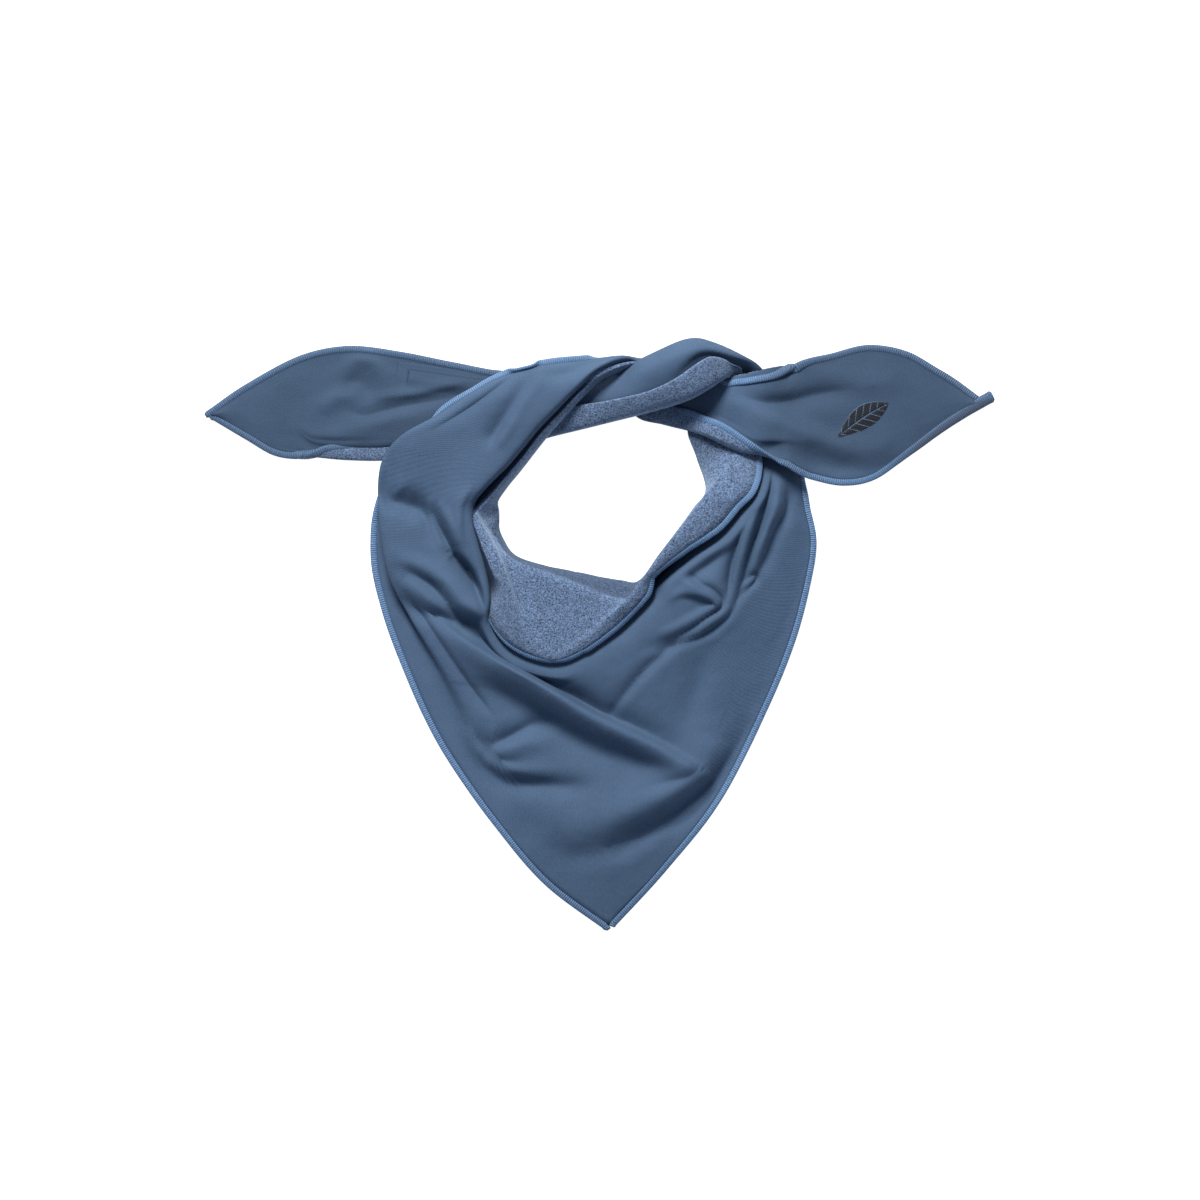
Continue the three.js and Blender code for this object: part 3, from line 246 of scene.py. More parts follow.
# Rise of the middle of a flat tail, mm
TAIL_CROWN = 1.2

# Mesh of the cloth: columns along it, and rows between one knot of a cross-section and the next, for the
# smooth face and for the fleece face. Columns are closer where the collar's folds are sharp.
CLOTH_COLUMNS = 610
SMOOTH_ROWS = [2, 3, 2, 1, 1, 1, 1, 1, 1, 1, 1, 2, 4, 28, 36, 6, 5]
FLEECE_ROWS = [3, 24, 10, 1, 1, 1, 1, 1, 1, 1, 1, 2, 2, 5, 7, 2, 2]
# Columns: section, closeness of the columns
COLUMN_DENSITY = np.array([(11, 0.5), (15, 1), (24, 1), (25.5, 2), (30, 2), (32, 1), (38, 0.5)])

# Folds pressed into the laid cloth: ridges (rise > 0) and valleys (rise < 0). Columns: first and last
# section, rise mm, half width mm to the left and right when going along the run, power (2 soft, 1 creased),
# run of points x, y on the drawing grid.
FOLDS = [
    # front, long ridge below the collar and the valleys round it
    (19.5, 30.5, -5.6, 7, 2.2, 1.8,
     [(452, 608), (465, 626), (487, 641), (513, 658), (539, 676), (565, 693), (587, 706), (608, 716),
      (640, 729), (672, 746)]),
    (19.5, 30.5, 10.5, 2.4, 10.5, 2.0,
     [(440, 622), (462, 640), (485, 654), (508, 668), (530, 680), (552, 692), (573, 704), (595, 717),
      (617, 728), (640, 739), (662, 750), (684, 762), (698, 768)]),
    (20, 29.5, -5.4, 7, 12, 1.8,
     [(474, 686), (500, 692), (526, 706), (552, 724), (586, 742), (617, 754), (650, 766), (684, 775)]),
    (20, 28, -4.8, 5, 3.2, 1.6, [(484, 738), (493, 745), (505, 740), (521, 731), (536, 724), (556, 721)]),
    (20, 28, 2.6, 3, 7, 1.8, [(490, 744), (506, 747), (530, 742), (556, 738)]),
    (20, 29, 4.2, 5, 5, 1.8, [(468, 724), (474, 742), (486, 757), (502, 767), (525, 771), (555, 773)]),
    (20, 28, -3.2, 3, 3, 1.6, [(474, 730), (482, 745), (491, 755), (506, 761), (524, 763)]),
    (20, 29, -5.4, 6, 7, 1.8, [(478, 752), (490, 767), (508, 780), (539, 784), (565, 786), (590, 786)]),
    (17, 26, 7.2, 10, 13, 1.9,
     [(716, 735), (708, 756), (696, 774), (672, 790), (645, 803), (612, 817), (575, 830)]),
    (17, 26, -5.4, 6, 8, 1.8,
     [(748, 735), (735, 760), (715, 785), (692, 805), (665, 824), (633, 842), (600, 854), (560, 858)]),
    (18, 25, -2.4, 3, 4, 1.7, [(700, 763), (690, 775), (665, 783), (640, 789)]),
    (17, 24, -2.8, 8, 9, 2.0, [(706, 636), (701, 667), (693, 696), (684, 728)]),
    (17, 24, -3.6, 2.2, 3.8, 1.7, [(681, 640), (671, 648), (649, 667), (628, 691), (609, 716)]),
    (20, 31.5, -3.0, 2.0, 5.0, 1.6,
     [(404, 590), (420, 612), (440, 640), (462, 672), (480, 698), (492, 714)]),
    # gathers below the collar on the right
    (15, 20, -6.0, 2.6, 4.0, 1.5,
     [(767, 460), (769, 478), (767, 497), (760, 526), (751, 551), (743, 578), (735, 602)]),
    (15, 20, -5.4, 5.0, 3.0, 1.7, [(786, 470), (787, 494), (784, 513), (775, 528), (765, 557), (755, 577)]),
    (15, 20, 3.6, 4.5, 3.0, 1.9, [(778, 466), (778, 494), (774, 513), (766, 532), (758, 551), (752, 574)]),
    (15, 20, -5.0, 2.2, 3.6, 1.5, [(743, 508), (737, 542), (731, 566), (728, 586), (726, 604)]),
    (15, 20, 2.8, 3, 2.4, 1.9, [(755, 508), (749, 530), (742, 556), (734, 590)]),
    (16, 21, -4.6, 6, 6, 1.9, [(730, 545), (708, 562), (692, 574), (670, 592)]),
    (17, 22, 5.4, 11, 2.2, 1.8,
     [(664, 600), (684, 592), (706, 596), (717, 604), (704, 613), (684, 624), (660, 635)]),
    (17, 22, -4.6, 2.4, 2.4, 1.7,
     [(686, 570), (698, 583), (712, 590), (721, 600), (720, 608), (704, 618), (689, 629), (668, 640),
      (640, 646)]),
    (17, 22, 3.2, 2.4, 2.6, 1.9, [(728, 598), (724, 612), (709, 624), (692, 634), (668, 642), (640, 648)]),
    (17, 22, -4.0, 2.6, 5.0, 1.7,
     [(740, 597), (730, 613), (720, 622), (704, 633), (680, 642), (640, 651), (596, 660)]),
    (16, 20, -2.6, 2.2, 2.2, 1.8, [(743, 582), (753, 575), (756, 579), (750, 587), (736, 600)]),
    (17, 21, 2.2, 1.8, 2.6, 1.6, [(681, 562), (682, 578), (690, 584), (700, 587)]),
    # left shoulder
    (27, 34.5, -7.0, 8, 6, 1.9,
     [(393, 444), (389, 466), (387, 486), (391, 500), (406, 505), (426, 514), (440, 536), (453, 554),
      (474, 582)]),
    (27, 34, 3.4, 4, 3, 1.9, [(428, 496), (432, 516), (439, 537), (452, 558)]),
    (27, 34, -4.0, 2.6, 2.6, 1.8, [(432, 509), (440, 528), (451, 548), (458, 560)]),
    (27, 34, 2.6, 3, 3, 1.9, [(440, 502), (451, 525), (458, 546)]),
    (26, 33, -12.0, 2.8, 5.2, 1.8,
     [(452, 554), (462, 563), (470, 572), (478, 584), (487, 599), (491, 612)]),
    (25, 33, 5.0, 6, 6, 1.9, [(398, 558), (424, 568), (446, 582), (462, 602), (480, 612), (492, 622)]),
    (25, 33, -3.6, 4, 4, 1.8, [(404, 568), (418, 576), (434, 587), (447, 603), (459, 616), (470, 624)]),
    (25, 32, 2.6, 5, 5, 1.9, [(404, 580), (420, 592), (440, 606), (456, 620)]),
    (25, 31, -5.0, 5, 6, 1.8,
     [(398, 596), (412, 606), (426, 613), (443, 617), (459, 623), (476, 627), (493, 645), (526, 663),
      (552, 680)]),
    (28.5, 34, 3.0, 3.4, 5, 1.8, [(472, 486), (464, 503), (460, 529), (465, 556), (480, 586)]),
    # right tail
    (41, 47.5, -3.8, 5, 7, 1.7, [(744, 400), (762, 404), (786, 402), (820, 394), (850, 390)]),
    (41, 48.5, 3.2, 9, 8, 1.9, [(712, 390), (752, 408), (794, 428), (838, 447), (870, 450), (890, 436)]),
    (44, 48, -1.8, 8, 8, 1.9, [(792, 446), (826, 462), (862, 470)]),
    (41, 48, -2.4, 7, 3, 1.7, [(736, 394), (756, 401), (783, 410), (806, 422), (828, 433), (842, 442)]),
    (43, 48, 1.8, 8, 8, 1.8, [(800, 372), (836, 380), (872, 384), (900, 376)]),
    # left tail
    (0.5, 6, 2.6, 5, 5, 1.7, [(320, 414), (330, 402), (343, 396), (354, 402)]),
    (0.5, 6, 2.4, 4, 5, 1.7, [(340, 378), (354, 362), (370, 361), (383, 372), (388, 388)]),
    (0.5, 6, -2.6, 6, 5, 1.8, [(346, 392), (357, 382), (366, 390), (371, 404)]),
    (0.5, 6, -2.5, 4, 3, 1.6,
     [(350, 410), (362, 416), (372, 415), (386, 411), (408, 406), (436, 401), (470, 393)]),
    (0.5, 6, 1.8, 4, 2.6, 1.7, [(374, 400), (392, 396), (412, 394), (440, 388), (470, 380)]),
    (0.5, 6, 1.6, 7, 7, 1.8, [(300, 444), (345, 432), (400, 418), (450, 406)]),
    # left strand
    (33, 39, -4.6, 5, 6, 1.8,
     [(531, 364), (529, 382), (520, 399), (508, 417), (496, 436), (486, 456), (472, 480), (460, 496)]),
    (33, 39, 2.8, 4, 4, 1.9,
     [(540, 374), (532, 390), (518, 411), (506, 432), (492, 452), (478, 474), (466, 494)]),
    (33, 38.5, -1.8, 1.6, 4, 1.5, [(430, 434), (452, 420), (474, 406), (500, 387), (524, 368)]),
    (36, 39.5, -2.0, 4, 4, 1.8, [(540, 376), (560, 376), (584, 371), (606, 364)]),
]

# The folds fade in past the roll over FOLD_FADE knots, where the tails flatten over FOLD_FADE_FLAT, and out
# before the rim. On the right tail the wide fade starts at FOLD_FLAT_START.
FOLD_FADE, FOLD_FADE_FLAT, FOLD_FADE_RIM = 0.3, 4.0, 0.8
FOLD_FLAT_START, FOLD_FLAT_RUN = 42.6, 1.6

# Folds of the fleece inside the collar, in the same columns
COLLAR_FOLDS = [
    (18, 32, 4.8, 1.1, 9, 1.6, [(490, 546), (511, 559), (535, 568), (560, 579), (592, 591), (626, 604)]),
    (23, 33, 6.5, 1.3, 8, 1.7, [(474, 510), (479, 522), (496, 552), (510, 590), (522, 632)]),
    (14, 25, 2.0, 5, 0.8, 1.5,
     [(738, 455), (709, 492), (679, 531), (640, 583), (622, 604), (600, 624), (575, 645), (546, 661)]),
]


def metres(p):
    """Drawing grid x, y and height in mm turned to metres in the object's frame."""
    p = np.asarray(p, float)
    return np.stack([(p[..., 0] - GRID_X0) * GRID, (GRID_Y0 - p[..., 1]) * GRID, p[..., 2] * MM], -1)


def ease(v):
    """0 to 1 with level ends, 3v^2 - 2v^3, held outside."""
    v = np.clip(v, 0, 1)
    return v * v * (3 - 2 * v)


def rail(rows, at, corner=None):
    """Smooth curve through a rail's rows: cubics with the slope between the neighbouring rows, one-sided at
    a corner."""
    s, v, n = rows[:, 0], rows[:, 1:], len(rows)
    i = np.clip(np.searchsorted(s, at, side="left") - 1, 0, n - 2)
    before = np.where((i > 0) & (s[i] != corner), i - 1, i)
    after = np.where((i + 2 < n) & (s[i + 1] != corner), i + 2, i + 1)
    span = (s[i + 1] - s[i])[:, None]
    t = np.clip((at - s[i])[:, None] / span, 0, 1)
    slope_a = (v[i + 1] - v[before]) / (s[i + 1] - s[before])[:, None] * span
    slope_b = (v[after] - v[i]) / (s[after] - s[i])[:, None] * span
    t2, t3 = t * t, t ** 3
    points = (2 * t3 - 3 * t2 + 1) * v[i] + (3 * t2 - 2 * t3) * v[i + 1]
    return points + (t3 - 2 * t2 + t) * slope_a + (t3 - t2) * slope_b


def flatness(at):
    """How evenly the knots of a cross-section spread: 1 at the flat corners of the tails, 0 between them."""
    return np.where(at < LEFT_TAIL_END, ease(LEFT_TAIL_END - at),
                    ease((at - RIGHT_TAIL_START) / RIGHT_TAIL_SPREAD))


def unit(v):
    """Directions of length 1."""
    return v / np.maximum(np.linalg.norm(v, axis=-1, keepdims=True), 1e-9)


def inset_rim(rows, at, end, target, flat):
    """Rim of the cloth: the outer rim moved inwards by what the overlocked edge takes, measured square to the
    edge, but by no more than a share of the way to the target."""
    step, least_slant, most = 0.05, 0.62, 0.7 - 0.25 * flat
    along = unit(metres(rail(rows, at + step, TIP_SECTION)) - metres(rail(rows, at - step, TIP_SECTION)))
    inward = target - end
    room = np.maximum(np.linalg.norm(inward, axis=1), 1e-6)
    slant = np.maximum(least_slant, np.linalg.norm(np.cross(along, unit(inward)), axis=1))
    share = np.minimum(most, (BINDING_WIDTH - BINDING_COVER) * MM / slant / room)
    return end + inward * share[:, None]


def section_knots(at):
    """The 18 knots of each cross-section: edge, collar ridge, lip, opening fold, eight pleat knots, turn,
    roll, crown, brow, foot and rim. In the flat ends of the tails they spread between the two edges."""
    flat = flatness(at)
    outer_edge = metres(rail(NECK_EDGE, at))
    outer_rim = metres(rail(SHORT_EDGE, at, TIP_SECTION))
    held = np.clip(at, LEFT_TAIL_END, RIGHT_TAIL_START)
    edge_move = outer_edge - metres(rail(NECK_EDGE, held))
    rim_move = outer_rim - metres(rail(SHORT_EDGE, held))

    def carried(rows, knot):
        return metres(rail(rows, held)) + edge_move * (1 - SPREAD[knot]) + rim_move * SPREAD[knot]

    def between(a, b, share):
        share = np.asarray(share, float)
        return a + (b - a) * (share[:, None] if share.ndim else share)

    ridge, lip = carried(COLLAR_RIDGE, 1), carried(COLLAR_LIP, LIP_KNOT)
    fold, roll = carried(OPENING_FOLD, FOLD_KNOT), carried(ROLL, ROLL_KNOT)
    foot = carried(BROW_FOOT, FOOT_KNOT)
    edge = inset_rim(NECK_EDGE, at, outer_edge, between(ridge, outer_rim, flat), flat)
    rim = inset_rim(SHORT_EDGE, at, outer_rim, between(foot, outer_edge, flat), flat)
    outer = carried(np.c_[PLEAT_REACH, np.zeros(len(PLEAT_REACH))], FOLD_KNOT + len(PLEATS) // 2 + 1)
    share = np.interp(held, PLEAT_SHARE[:, 0], PLEAT_SHARE[:, 1])
    turn = between(fold, roll, TURN_SHARE)
    ceiling = np.minimum(roll[:, 2], edge[:, 2]) * PLEAT_CEILING
    knots = [edge, ridge, lip, fold]
    for i, (out, level) in enumerate(PLEATS):
        even = (i + 1) / (len(PLEATS) + 1)
        plain = between(fold, turn, even)
        plain[:, 2] = fold[:, 2] + (turn[:, 2] - fold[:, 2]) * even ** 3
        stacked = fold + (outer - fold) * out
        stacked[:, 2] = fold[:, 2] + (ceiling - fold[:, 2]) * level
        knots.append(between(plain, stacked, share))
    knots += [turn, roll, carried(CROWN, CROWN_KNOT), carried(BROW, BROW_KNOT), foot, rim]
    knots = np.stack(knots, 1)
    even = edge[:, None] + (rim - edge)[:, None] * SPREAD[None, :, None]
    even[..., 2] += TAIL_CROWN * MM * np.sin(np.pi * SPREAD)
    even[:, [0, -1]] = knots[:, [0, -1]]
    return knots + (even - knots) * flat[:, None, None]


def across(knots, place):
    """Centripetal curve through the knots of each cross-section, read at its places (sections x places)."""
    n = knots.shape[1]
    padded = np.concatenate([2 * knots[:, :1] - knots[:, 1:2], knots, 2 * knots[:, -1:] - knots[:, -2:-1]], 1)
    i = np.clip(np.floor(place).astype(int), 0, n - 2)
    row = np.arange(len(knots))[:, None]
    p0, p1, p2, p3 = (padded[row, i + k] for k in range(4))

    def gap(a, b):
        return np.sqrt(np.maximum(1e-6, np.linalg.norm(b - a, axis=-1)))[..., None]

    t1 = gap(p0, p1)
    t2 = t1 + gap(p1, p2)
    t3 = t2 + gap(p2, p3)
    at = t1 + (t2 - t1) * (place - i)[..., None]
    a1 = (p0 * (t1 - at) + p1 * at) / t1
    a2 = (p1 * (t2 - at) + p2 * (at - t1)) / (t2 - t1)
    a3 = (p2 * (t3 - at) + p3 * (at - t2)) / (t3 - t2)
    b1 = (a1 * (t2 - at) + a2 * at) / t2
    b2 = (a2 * (t3 - at) + a3 * (at - t1)) / (t3 - t1)
    return (b1 * (t2 - at) + b2 * (at - t1)) / (t2 - t1)


def fold_height(folds, at, x, y):
    """Height in metres that the folds add at plan positions: for each fold, rise x fade along its run x
    exp(-(distance / half width) ** power), with its own half width on each side of the run. A fold is left
    out beyond 2.6 half widths."""
    height = np.zeros_like(x)
    for first, last, rise, left, right, power, run in folds:
        line = metres([(*p, 0) for p in run])[:, :2]
        steps = np.linspace(0, len(run) - 1, 8 * len(run))
        rows = np.c_[np.arange(len(run)), line]
        line = rail(rows, steps)
        reach = 2.6 * max(left, right) * MM
        low, high = line.min(0) - reach, line.max(0) + reach
        near = (at > first) & (at < last) & (x > low[0]) & (x < high[0]) & (y > low[1]) & (y < high[1])
        if not near.any():
            continue
        p = np.c_[x[near], y[near]]
        start, step = line[:-1], np.diff(line, axis=0)
        rel = p[:, None] - start[None]
        share = np.clip((rel * step).sum(-1) / (step ** 2).sum(-1), 0, 1)
        off = rel - step * share[..., None]
        distance = np.linalg.norm(off, axis=-1)
        k = distance.argmin(1)
        row = np.arange(len(p))
        side = step[k, 0] * off[row, k, 1] - step[k, 1] * off[row, k, 0]
        width = np.where(side > 0, left, right) * MM
        along = (k + share[row, k]) / len(step)
        fade = np.clip(np.sin(np.pi * (along * 0.94 + 0.03)), 0, 1) ** 0.7
        ends = ease(np.minimum(at[near] - first, last - at[near]) / 0.8)
        height[near] += rise * MM * fade * ends * np.exp(-((distance[row, k] / width) ** power))
    return height


def cloth(at, place):
    """Middle surface of the cloth at each section number and its places, sections x places x 3."""
    place = np.broadcast_to(place, (len(at), np.shape(place)[-1])).astype(float)
    p = across(section_knots(at), place)
    flat = np.where(at < LEFT_TAIL_END, ease(LEFT_TAIL_END - at),
                    ease((at - FOLD_FLAT_START) / FOLD_FLAT_RUN))[:, None]
    fade = FOLD_FADE + (FOLD_FADE_FLAT - FOLD_FADE) * flat
    free = ease((place - ROLL_KNOT * (1 - flat)) / fade) * ease((RIM_KNOT - place) / FOLD_FADE_RIM)
    section = np.broadcast_to(at[:, None], place.shape)
    collar = ease(place / 0.5) * ease((FOLD_KNOT + 0.1 - place) / 0.5)
    p[..., 2] += fold_height(FOLDS, section, p[..., 0], p[..., 1]) * free
    p[..., 2] += fold_height(COLLAR_FOLDS, section, p[..., 0], p[..., 1]) * collar
    p[..., 2] = np.maximum(p[..., 2], CLOTH_THICKNESS / 2 * MM)
    return p


def even_sections(first, last, count, rails, density=None):
    """Section numbers spaced evenly along the mean of some rails, closer together where density is higher."""
    at = np.linspace(first, last, 4000)
    step = sum(np.linalg.norm(np.diff(metres(rail(rows, at)), axis=0), axis=1) for rows in rails)
    if density is not None:
        step *= np.interp(at[1:], density[:, 0], density[:, 1])
    run = np.r_[0, np.cumsum(step + 1e-6)]
    return np.interp(np.linspace(0, run[-1], count), run, at)


def add_object(name, data):
    """A new object in the scene."""
    made = bpy.data.objects.new(name, data)
    bpy.context.collection.objects.link(made)
    return made


def add_piece(name, points, faces, uv, materials, material_index=None, smooth=True):
    """A piece from points, faces (all of one size) and a UV pair for each point."""
    mesh = bpy.data.meshes.new(name)
    mesh.from_pydata(points.tolist(), [], list(faces))
    layer = mesh.uv_layers.new(name="weave")
    loops = np.empty(len(mesh.loops), np.int32)
    mesh.loops.foreach_get("vertex_index", loops)
    layer.data.foreach_set("uv", uv[loops].astype(np.float32).ravel())
    for material in materials:
        mesh.materials.append(material)
    if material_index is not None:
        mesh.polygons.foreach_set("material_index", material_index.astype(np.int32))
    mesh.polygons.foreach_set("use_smooth", np.full(len(mesh.polygons), smooth))
    mesh.update()
    piece = add_object(name, mesh)
    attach(piece, "root")
    return piece


def grid_faces(rows, columns, start=0, flip=False, closed=False):
    """Four-sided faces of a grid whose points run along its columns first; closed joins the last column to
    the first."""
    r = np.arange(rows - 1)[:, None] * columns
    c = np.arange(columns if closed else columns - 1)[None, :]
    d = (c + 1) % columns
    faces = np.stack([r + c, r + d, r + d + columns, r + c + columns], -1).reshape(-1, 4) + start
    return faces[:, ::-1] if flip else faces


def surface_normals(p):
    """Unit normals of a grid of points: the cross product of its two directions, towards the smooth face."""
    return unit(np.cross(np.gradient(p, axis=0), np.gradient(p, axis=1)))


# Cloth: one wall, its outer face smooth knit, its inner face brushed fleece. Depth of the painted shade
# on the fleece, 0 to 1, in the gap beside the roll and down the far wall of the collar, where shade falls
GAP_SHADE, WALL_SHADE = 0.88, 0.55


def places_of(rows):
    """Places across the cloth of the rows of the mesh, from the neck edge to the rim."""
    return np.concatenate([k + np.arange(n) / n for k, n in enumerate(rows)] + [[RIM_KNOT]])


def lowest_nearby(at, place):
    """Lower envelope of the middle surface: its least height within six rows of the smooth face and one
    column, so that the coarser fleece face stays under the smooth one in the sharp folds."""
    fine = places_of(SMOOTH_ROWS)
    z = cloth(at, fine)[..., 2]
    for axis, reach in (1, 6), (0, 1):
        z = np.min([np.roll(z, k, axis) for k in range(-reach, reach + 1)], axis=0)
    k = np.clip(np.searchsorted(fine, place) - 1, 0, len(fine) - 2)
    share = (place - fine[k]) / (fine[k + 1] - fine[k])
    return z[:, k] * (1 - share) + z[:, k + 1] * share


def cloth_face(at, rows, side):
    """Points, weave coordinates, rim distance and depth of painted shade of one face, half the thickness
    from the middle. The painted shade lies in the gap beside the roll, and down the far wall of the collar at
    the front."""
    place = places_of(rows)
    middle = cloth(at, place)
    points = middle + surface_normals(middle) * CLOTH_THICKNESS / 2 * MM * side
    if side < 0:
        low = lowest_nearby(at, place) - CLOTH_THICKNESS / 2 * MM
        free = (place > ROLL_KNOT + FOLD_FADE) & (place < RIM_KNOT - FOLD_FADE)
        free = free & ((at > 1) & (at < LAST_SECTION - 1))[:, None]
        points[..., 2] = np.where(free, np.clip(low, 0, points[..., 2]), points[..., 2])
    guide = cloth(at, np.array([ROLL_KNOT]))[:, 0]
    along = np.r_[0, np.cumsum(np.linalg.norm(np.diff(guide, axis=0), axis=1))]
    widths = np.cumsum(np.linalg.norm(np.diff(middle, axis=1, prepend=middle[:, :1]), axis=2), 1)
    uv = np.stack([np.broadcast_to(along[:, None], widths.shape), widths], -1)
    section = at[:, None]
    # Painted shade: the gap beside the roll and the collar's far wall, darkened as if in shade
    gap = GAP_SHADE * ease((1.15 - place) / 0.12) * ease(section - 27.2) * ease((37.8 - section) / 0.8)
    wall = WALL_SHADE * ease((place - 1.98) / 0.1) * ease((section - 17.5) / 1.5) * ease(30 - section)
    rim_distance = np.minimum(widths, widths[:, -1:] - widths)
    return points, uv.reshape(-1, 2), rim_distance.ravel(), (gap + wall).ravel()


def build_cloth(materials):
    """The cloth as a closed wall: a smooth outer face and a fleece face, each a grid of sections by places
    half the thickness from the middle surface, joined by four narrow walls at the rims."""
    at = even_sections(0, LAST_SECTION, CLOTH_COLUMNS, [NECK_EDGE, SHORT_EDGE, ROLL], COLUMN_DENSITY)
    top, top_uv, top_rim, top_shade = cloth_face(at, SMOOTH_ROWS, 1)
    low, low_uv, low_rim, low_shade = cloth_face(at, FLEECE_ROWS, -1)
    n, wide, narrow = len(at), top.shape[1], low.shape[1]
    start = n * wide
    up = np.arange(start).reshape(n, wide)
    down = start + np.arange(n * narrow).reshape(n, narrow)
    walls = [np.stack([up[:-1, c], down[:-1, c], down[1:, c], up[1:, c]], -1)[:, ::turn]
             for c, turn in ((0, 1), (-1, -1))]
    ends = [[*up[0, ::-1], *down[0]], [*up[-1], *down[-1, ::-1]]]
    top_faces = grid_faces(n, wide, flip=True)
    faces = np.concatenate([top_faces, grid_faces(n, narrow, start), *walls]).tolist() + ends
    side = np.ones(len(faces))
    side[:len(top_faces)] = 0
    points = np.concatenate([top.reshape(-1, 3), low.reshape(-1, 3)])
    piece = add_piece("cloth", points, faces, np.concatenate([top_uv, low_uv]), materials, side)
    for name, values in (("rim_distance", (top_rim, low_rim)), ("painted_deep_shade", (top_shade, low_shade))):
        layer = piece.data.attributes.new(name, "FLOAT", "POINT")
        layer.data.foreach_set("value", np.concatenate(values).astype(np.float32))
    return piece


def thread_end(centre, out, scale, length):
    """Free end of thread past a corner: rings in a straight line out of the corner, kept above the floor, a
    little wider after 6 mm and closing over the last 1.6 mm."""
    run = np.arange(1, max(2, int(length / BINDING_STEP))) * BINDING_STEP * MM
    rings = centre + out * run[:, None]
    rings[:, 2] = np.maximum(rings[:, 2], BINDING_HALF_THICKNESS * MM)
    widen = 0.12 * ease((run - 6 * MM) / (3 * MM))
    close = 0.35 * ease(1 - (run[-1] - run) / (1.6 * MM))
    return rings, scale * (1 + widen - close)


def build_binding(name, rows, place, first, last, squeeze, stubs, material):
    """An overlocked edge: a flattened thread section carried along the cloth's rim, its outer side on the
    rail, ribbed once for each stitch, with a short free end of thread at each corner. The section is
    |cos| ** 0.8 across and |sin| ** 0.9 thick, and stouter where the edge stands up and turns over."""
    length = np.linalg.norm(np.diff(metres(rail(rows, np.linspace(first, last, 900))), axis=0), axis=1).sum()
    at = even_sections(first, last, int(length / (BINDING_STEP * MM)), [rows])
    rim, behind = (cloth(at, np.array([v]))[:, 0] for v in (place, abs(place - 0.4)))
    outer = metres(rail(rows, at, TIP_SECTION))
    flat = flatness(at)[:, None]
    facing = 1 if place == 0 else -1
    inward = unit(behind - rim) * (1 - flat) + unit(rim - outer) * flat
    tangent = unit(np.gradient(rim, axis=0))
    normal = unit(np.cross(tangent, inward)) * facing
    away = unit(np.cross(tangent, normal)) * facing
    scale = np.interp(at, squeeze[:, 0], squeeze[:, 1])
    half = scale * BINDING_WIDTH / 2
    reach = np.minimum(half - BINDING_COVER, BINDING_WIDTH - BINDING_COVER - half) * MM
    centre = rim + away * reach[:, None]
    back = 12  # steps of the rail that give its direction at a corner
    first_rings, first_scale = thread_end(centre[0], unit(outer[0] - outer[back]), scale[0], stubs[0])
    last_rings, last_scale = thread_end(centre[-1], unit(outer[-1] - outer[-1 - back]), scale[-1], stubs[1])
    before, after = len(first_rings), len(last_rings)
    centre = np.concatenate([first_rings[::-1], centre, last_rings])
    scale = np.concatenate([first_scale[::-1], scale, last_scale])
    away, normal = (np.pad(v, ((before, after), (0, 0)), "edge") for v in (away, normal))

    run = np.r_[0, np.cumsum(np.linalg.norm(np.diff(centre, axis=0), axis=1))]
    angle = np.arange(BINDING_SIDES) / BINDING_SIDES * 2 * np.pi
    rib = 1 + 0.07 * np.cos(run / (STITCH_PITCH * MM) * 2 * np.pi)
    stout = 1 + 0.8 * np.abs(away[:, 2]) * ease((scale - 1) / 0.3)
    wide = np.sign(np.cos(angle)) * np.abs(np.cos(angle)) ** 0.8 * BINDING_WIDTH / 2 * MM
    thick = np.sign(np.sin(angle)) * np.abs(np.sin(angle)) ** 0.9 * BINDING_HALF_THICKNESS * MM
    ring = (centre[:, None] + away[:, None] * (wide[None] * scale[:, None])[..., None]
            + normal[:, None] * (thick[None] * (scale * rib * stout)[:, None])[..., None])
    ring[..., 2] = np.maximum(ring[..., 2], 0)
    points = np.concatenate([ring.reshape(-1, 3), centre[[0, -1]]])
    n = len(centre)
    k, count = np.arange(BINDING_SIDES), n * BINDING_SIDES
    after_k, last_ring = (k + 1) % BINDING_SIDES, count - BINDING_SIDES
    first_cap = np.stack([k, after_k, np.full_like(k, count)], -1)
    last_cap = np.stack([after_k + last_ring, k + last_ring, np.full_like(k, count + 1)], -1)
    faces = grid_faces(n, BINDING_SIDES, closed=True, flip=True)
    uv = np.stack([np.repeat(run, BINDING_SIDES), np.tile(angle / (2 * np.pi), n)], -1)
    uv = np.concatenate([uv, [[0, 0], [run[-1], 0]]])
    return add_piece(name, points, faces.tolist() + first_cap.tolist() + last_cap.tolist(), uv, [material])


# Materials
class Value:
    """A socket of a material's node with arithmetic, each operation adding one Math node."""

    def __init__(self, paint, socket):
        self.paint, self.socket = paint, socket

    def math(self, operation, *others):
        made = self.paint.node("ShaderNodeMath", {"operation": operation}, [self, *others])
        return Value(self.paint, made.outputs[0])

    def __add__(self, other):
        return self.math("ADD", other)

    def __mul__(self, other):
        return self.math("MULTIPLY", other)

    def __sub__(self, other):
        return self.math("SUBTRACT", other)

    def __rsub__(self, other):
        return (self * -1) + other

    __radd__, __rmul__ = __add__, __mul__

    def ramp(self, low, high, to=(0, 1)):
        """Smooth step from to[0] at low to to[1] at high."""
        made = self.paint.node("ShaderNodeMapRange", {"interpolation_type": "SMOOTHSTEP"},
                               [self, low, high, to[0], to[1]])
        return Value(self.paint, made.outputs[0])

    def wave(self, pitch):
        """Sine of this length, 0 to 1, one period for each pitch."""
        return (self * (2 * np.pi / pitch)).math("SINE") * 0.5 + 0.5


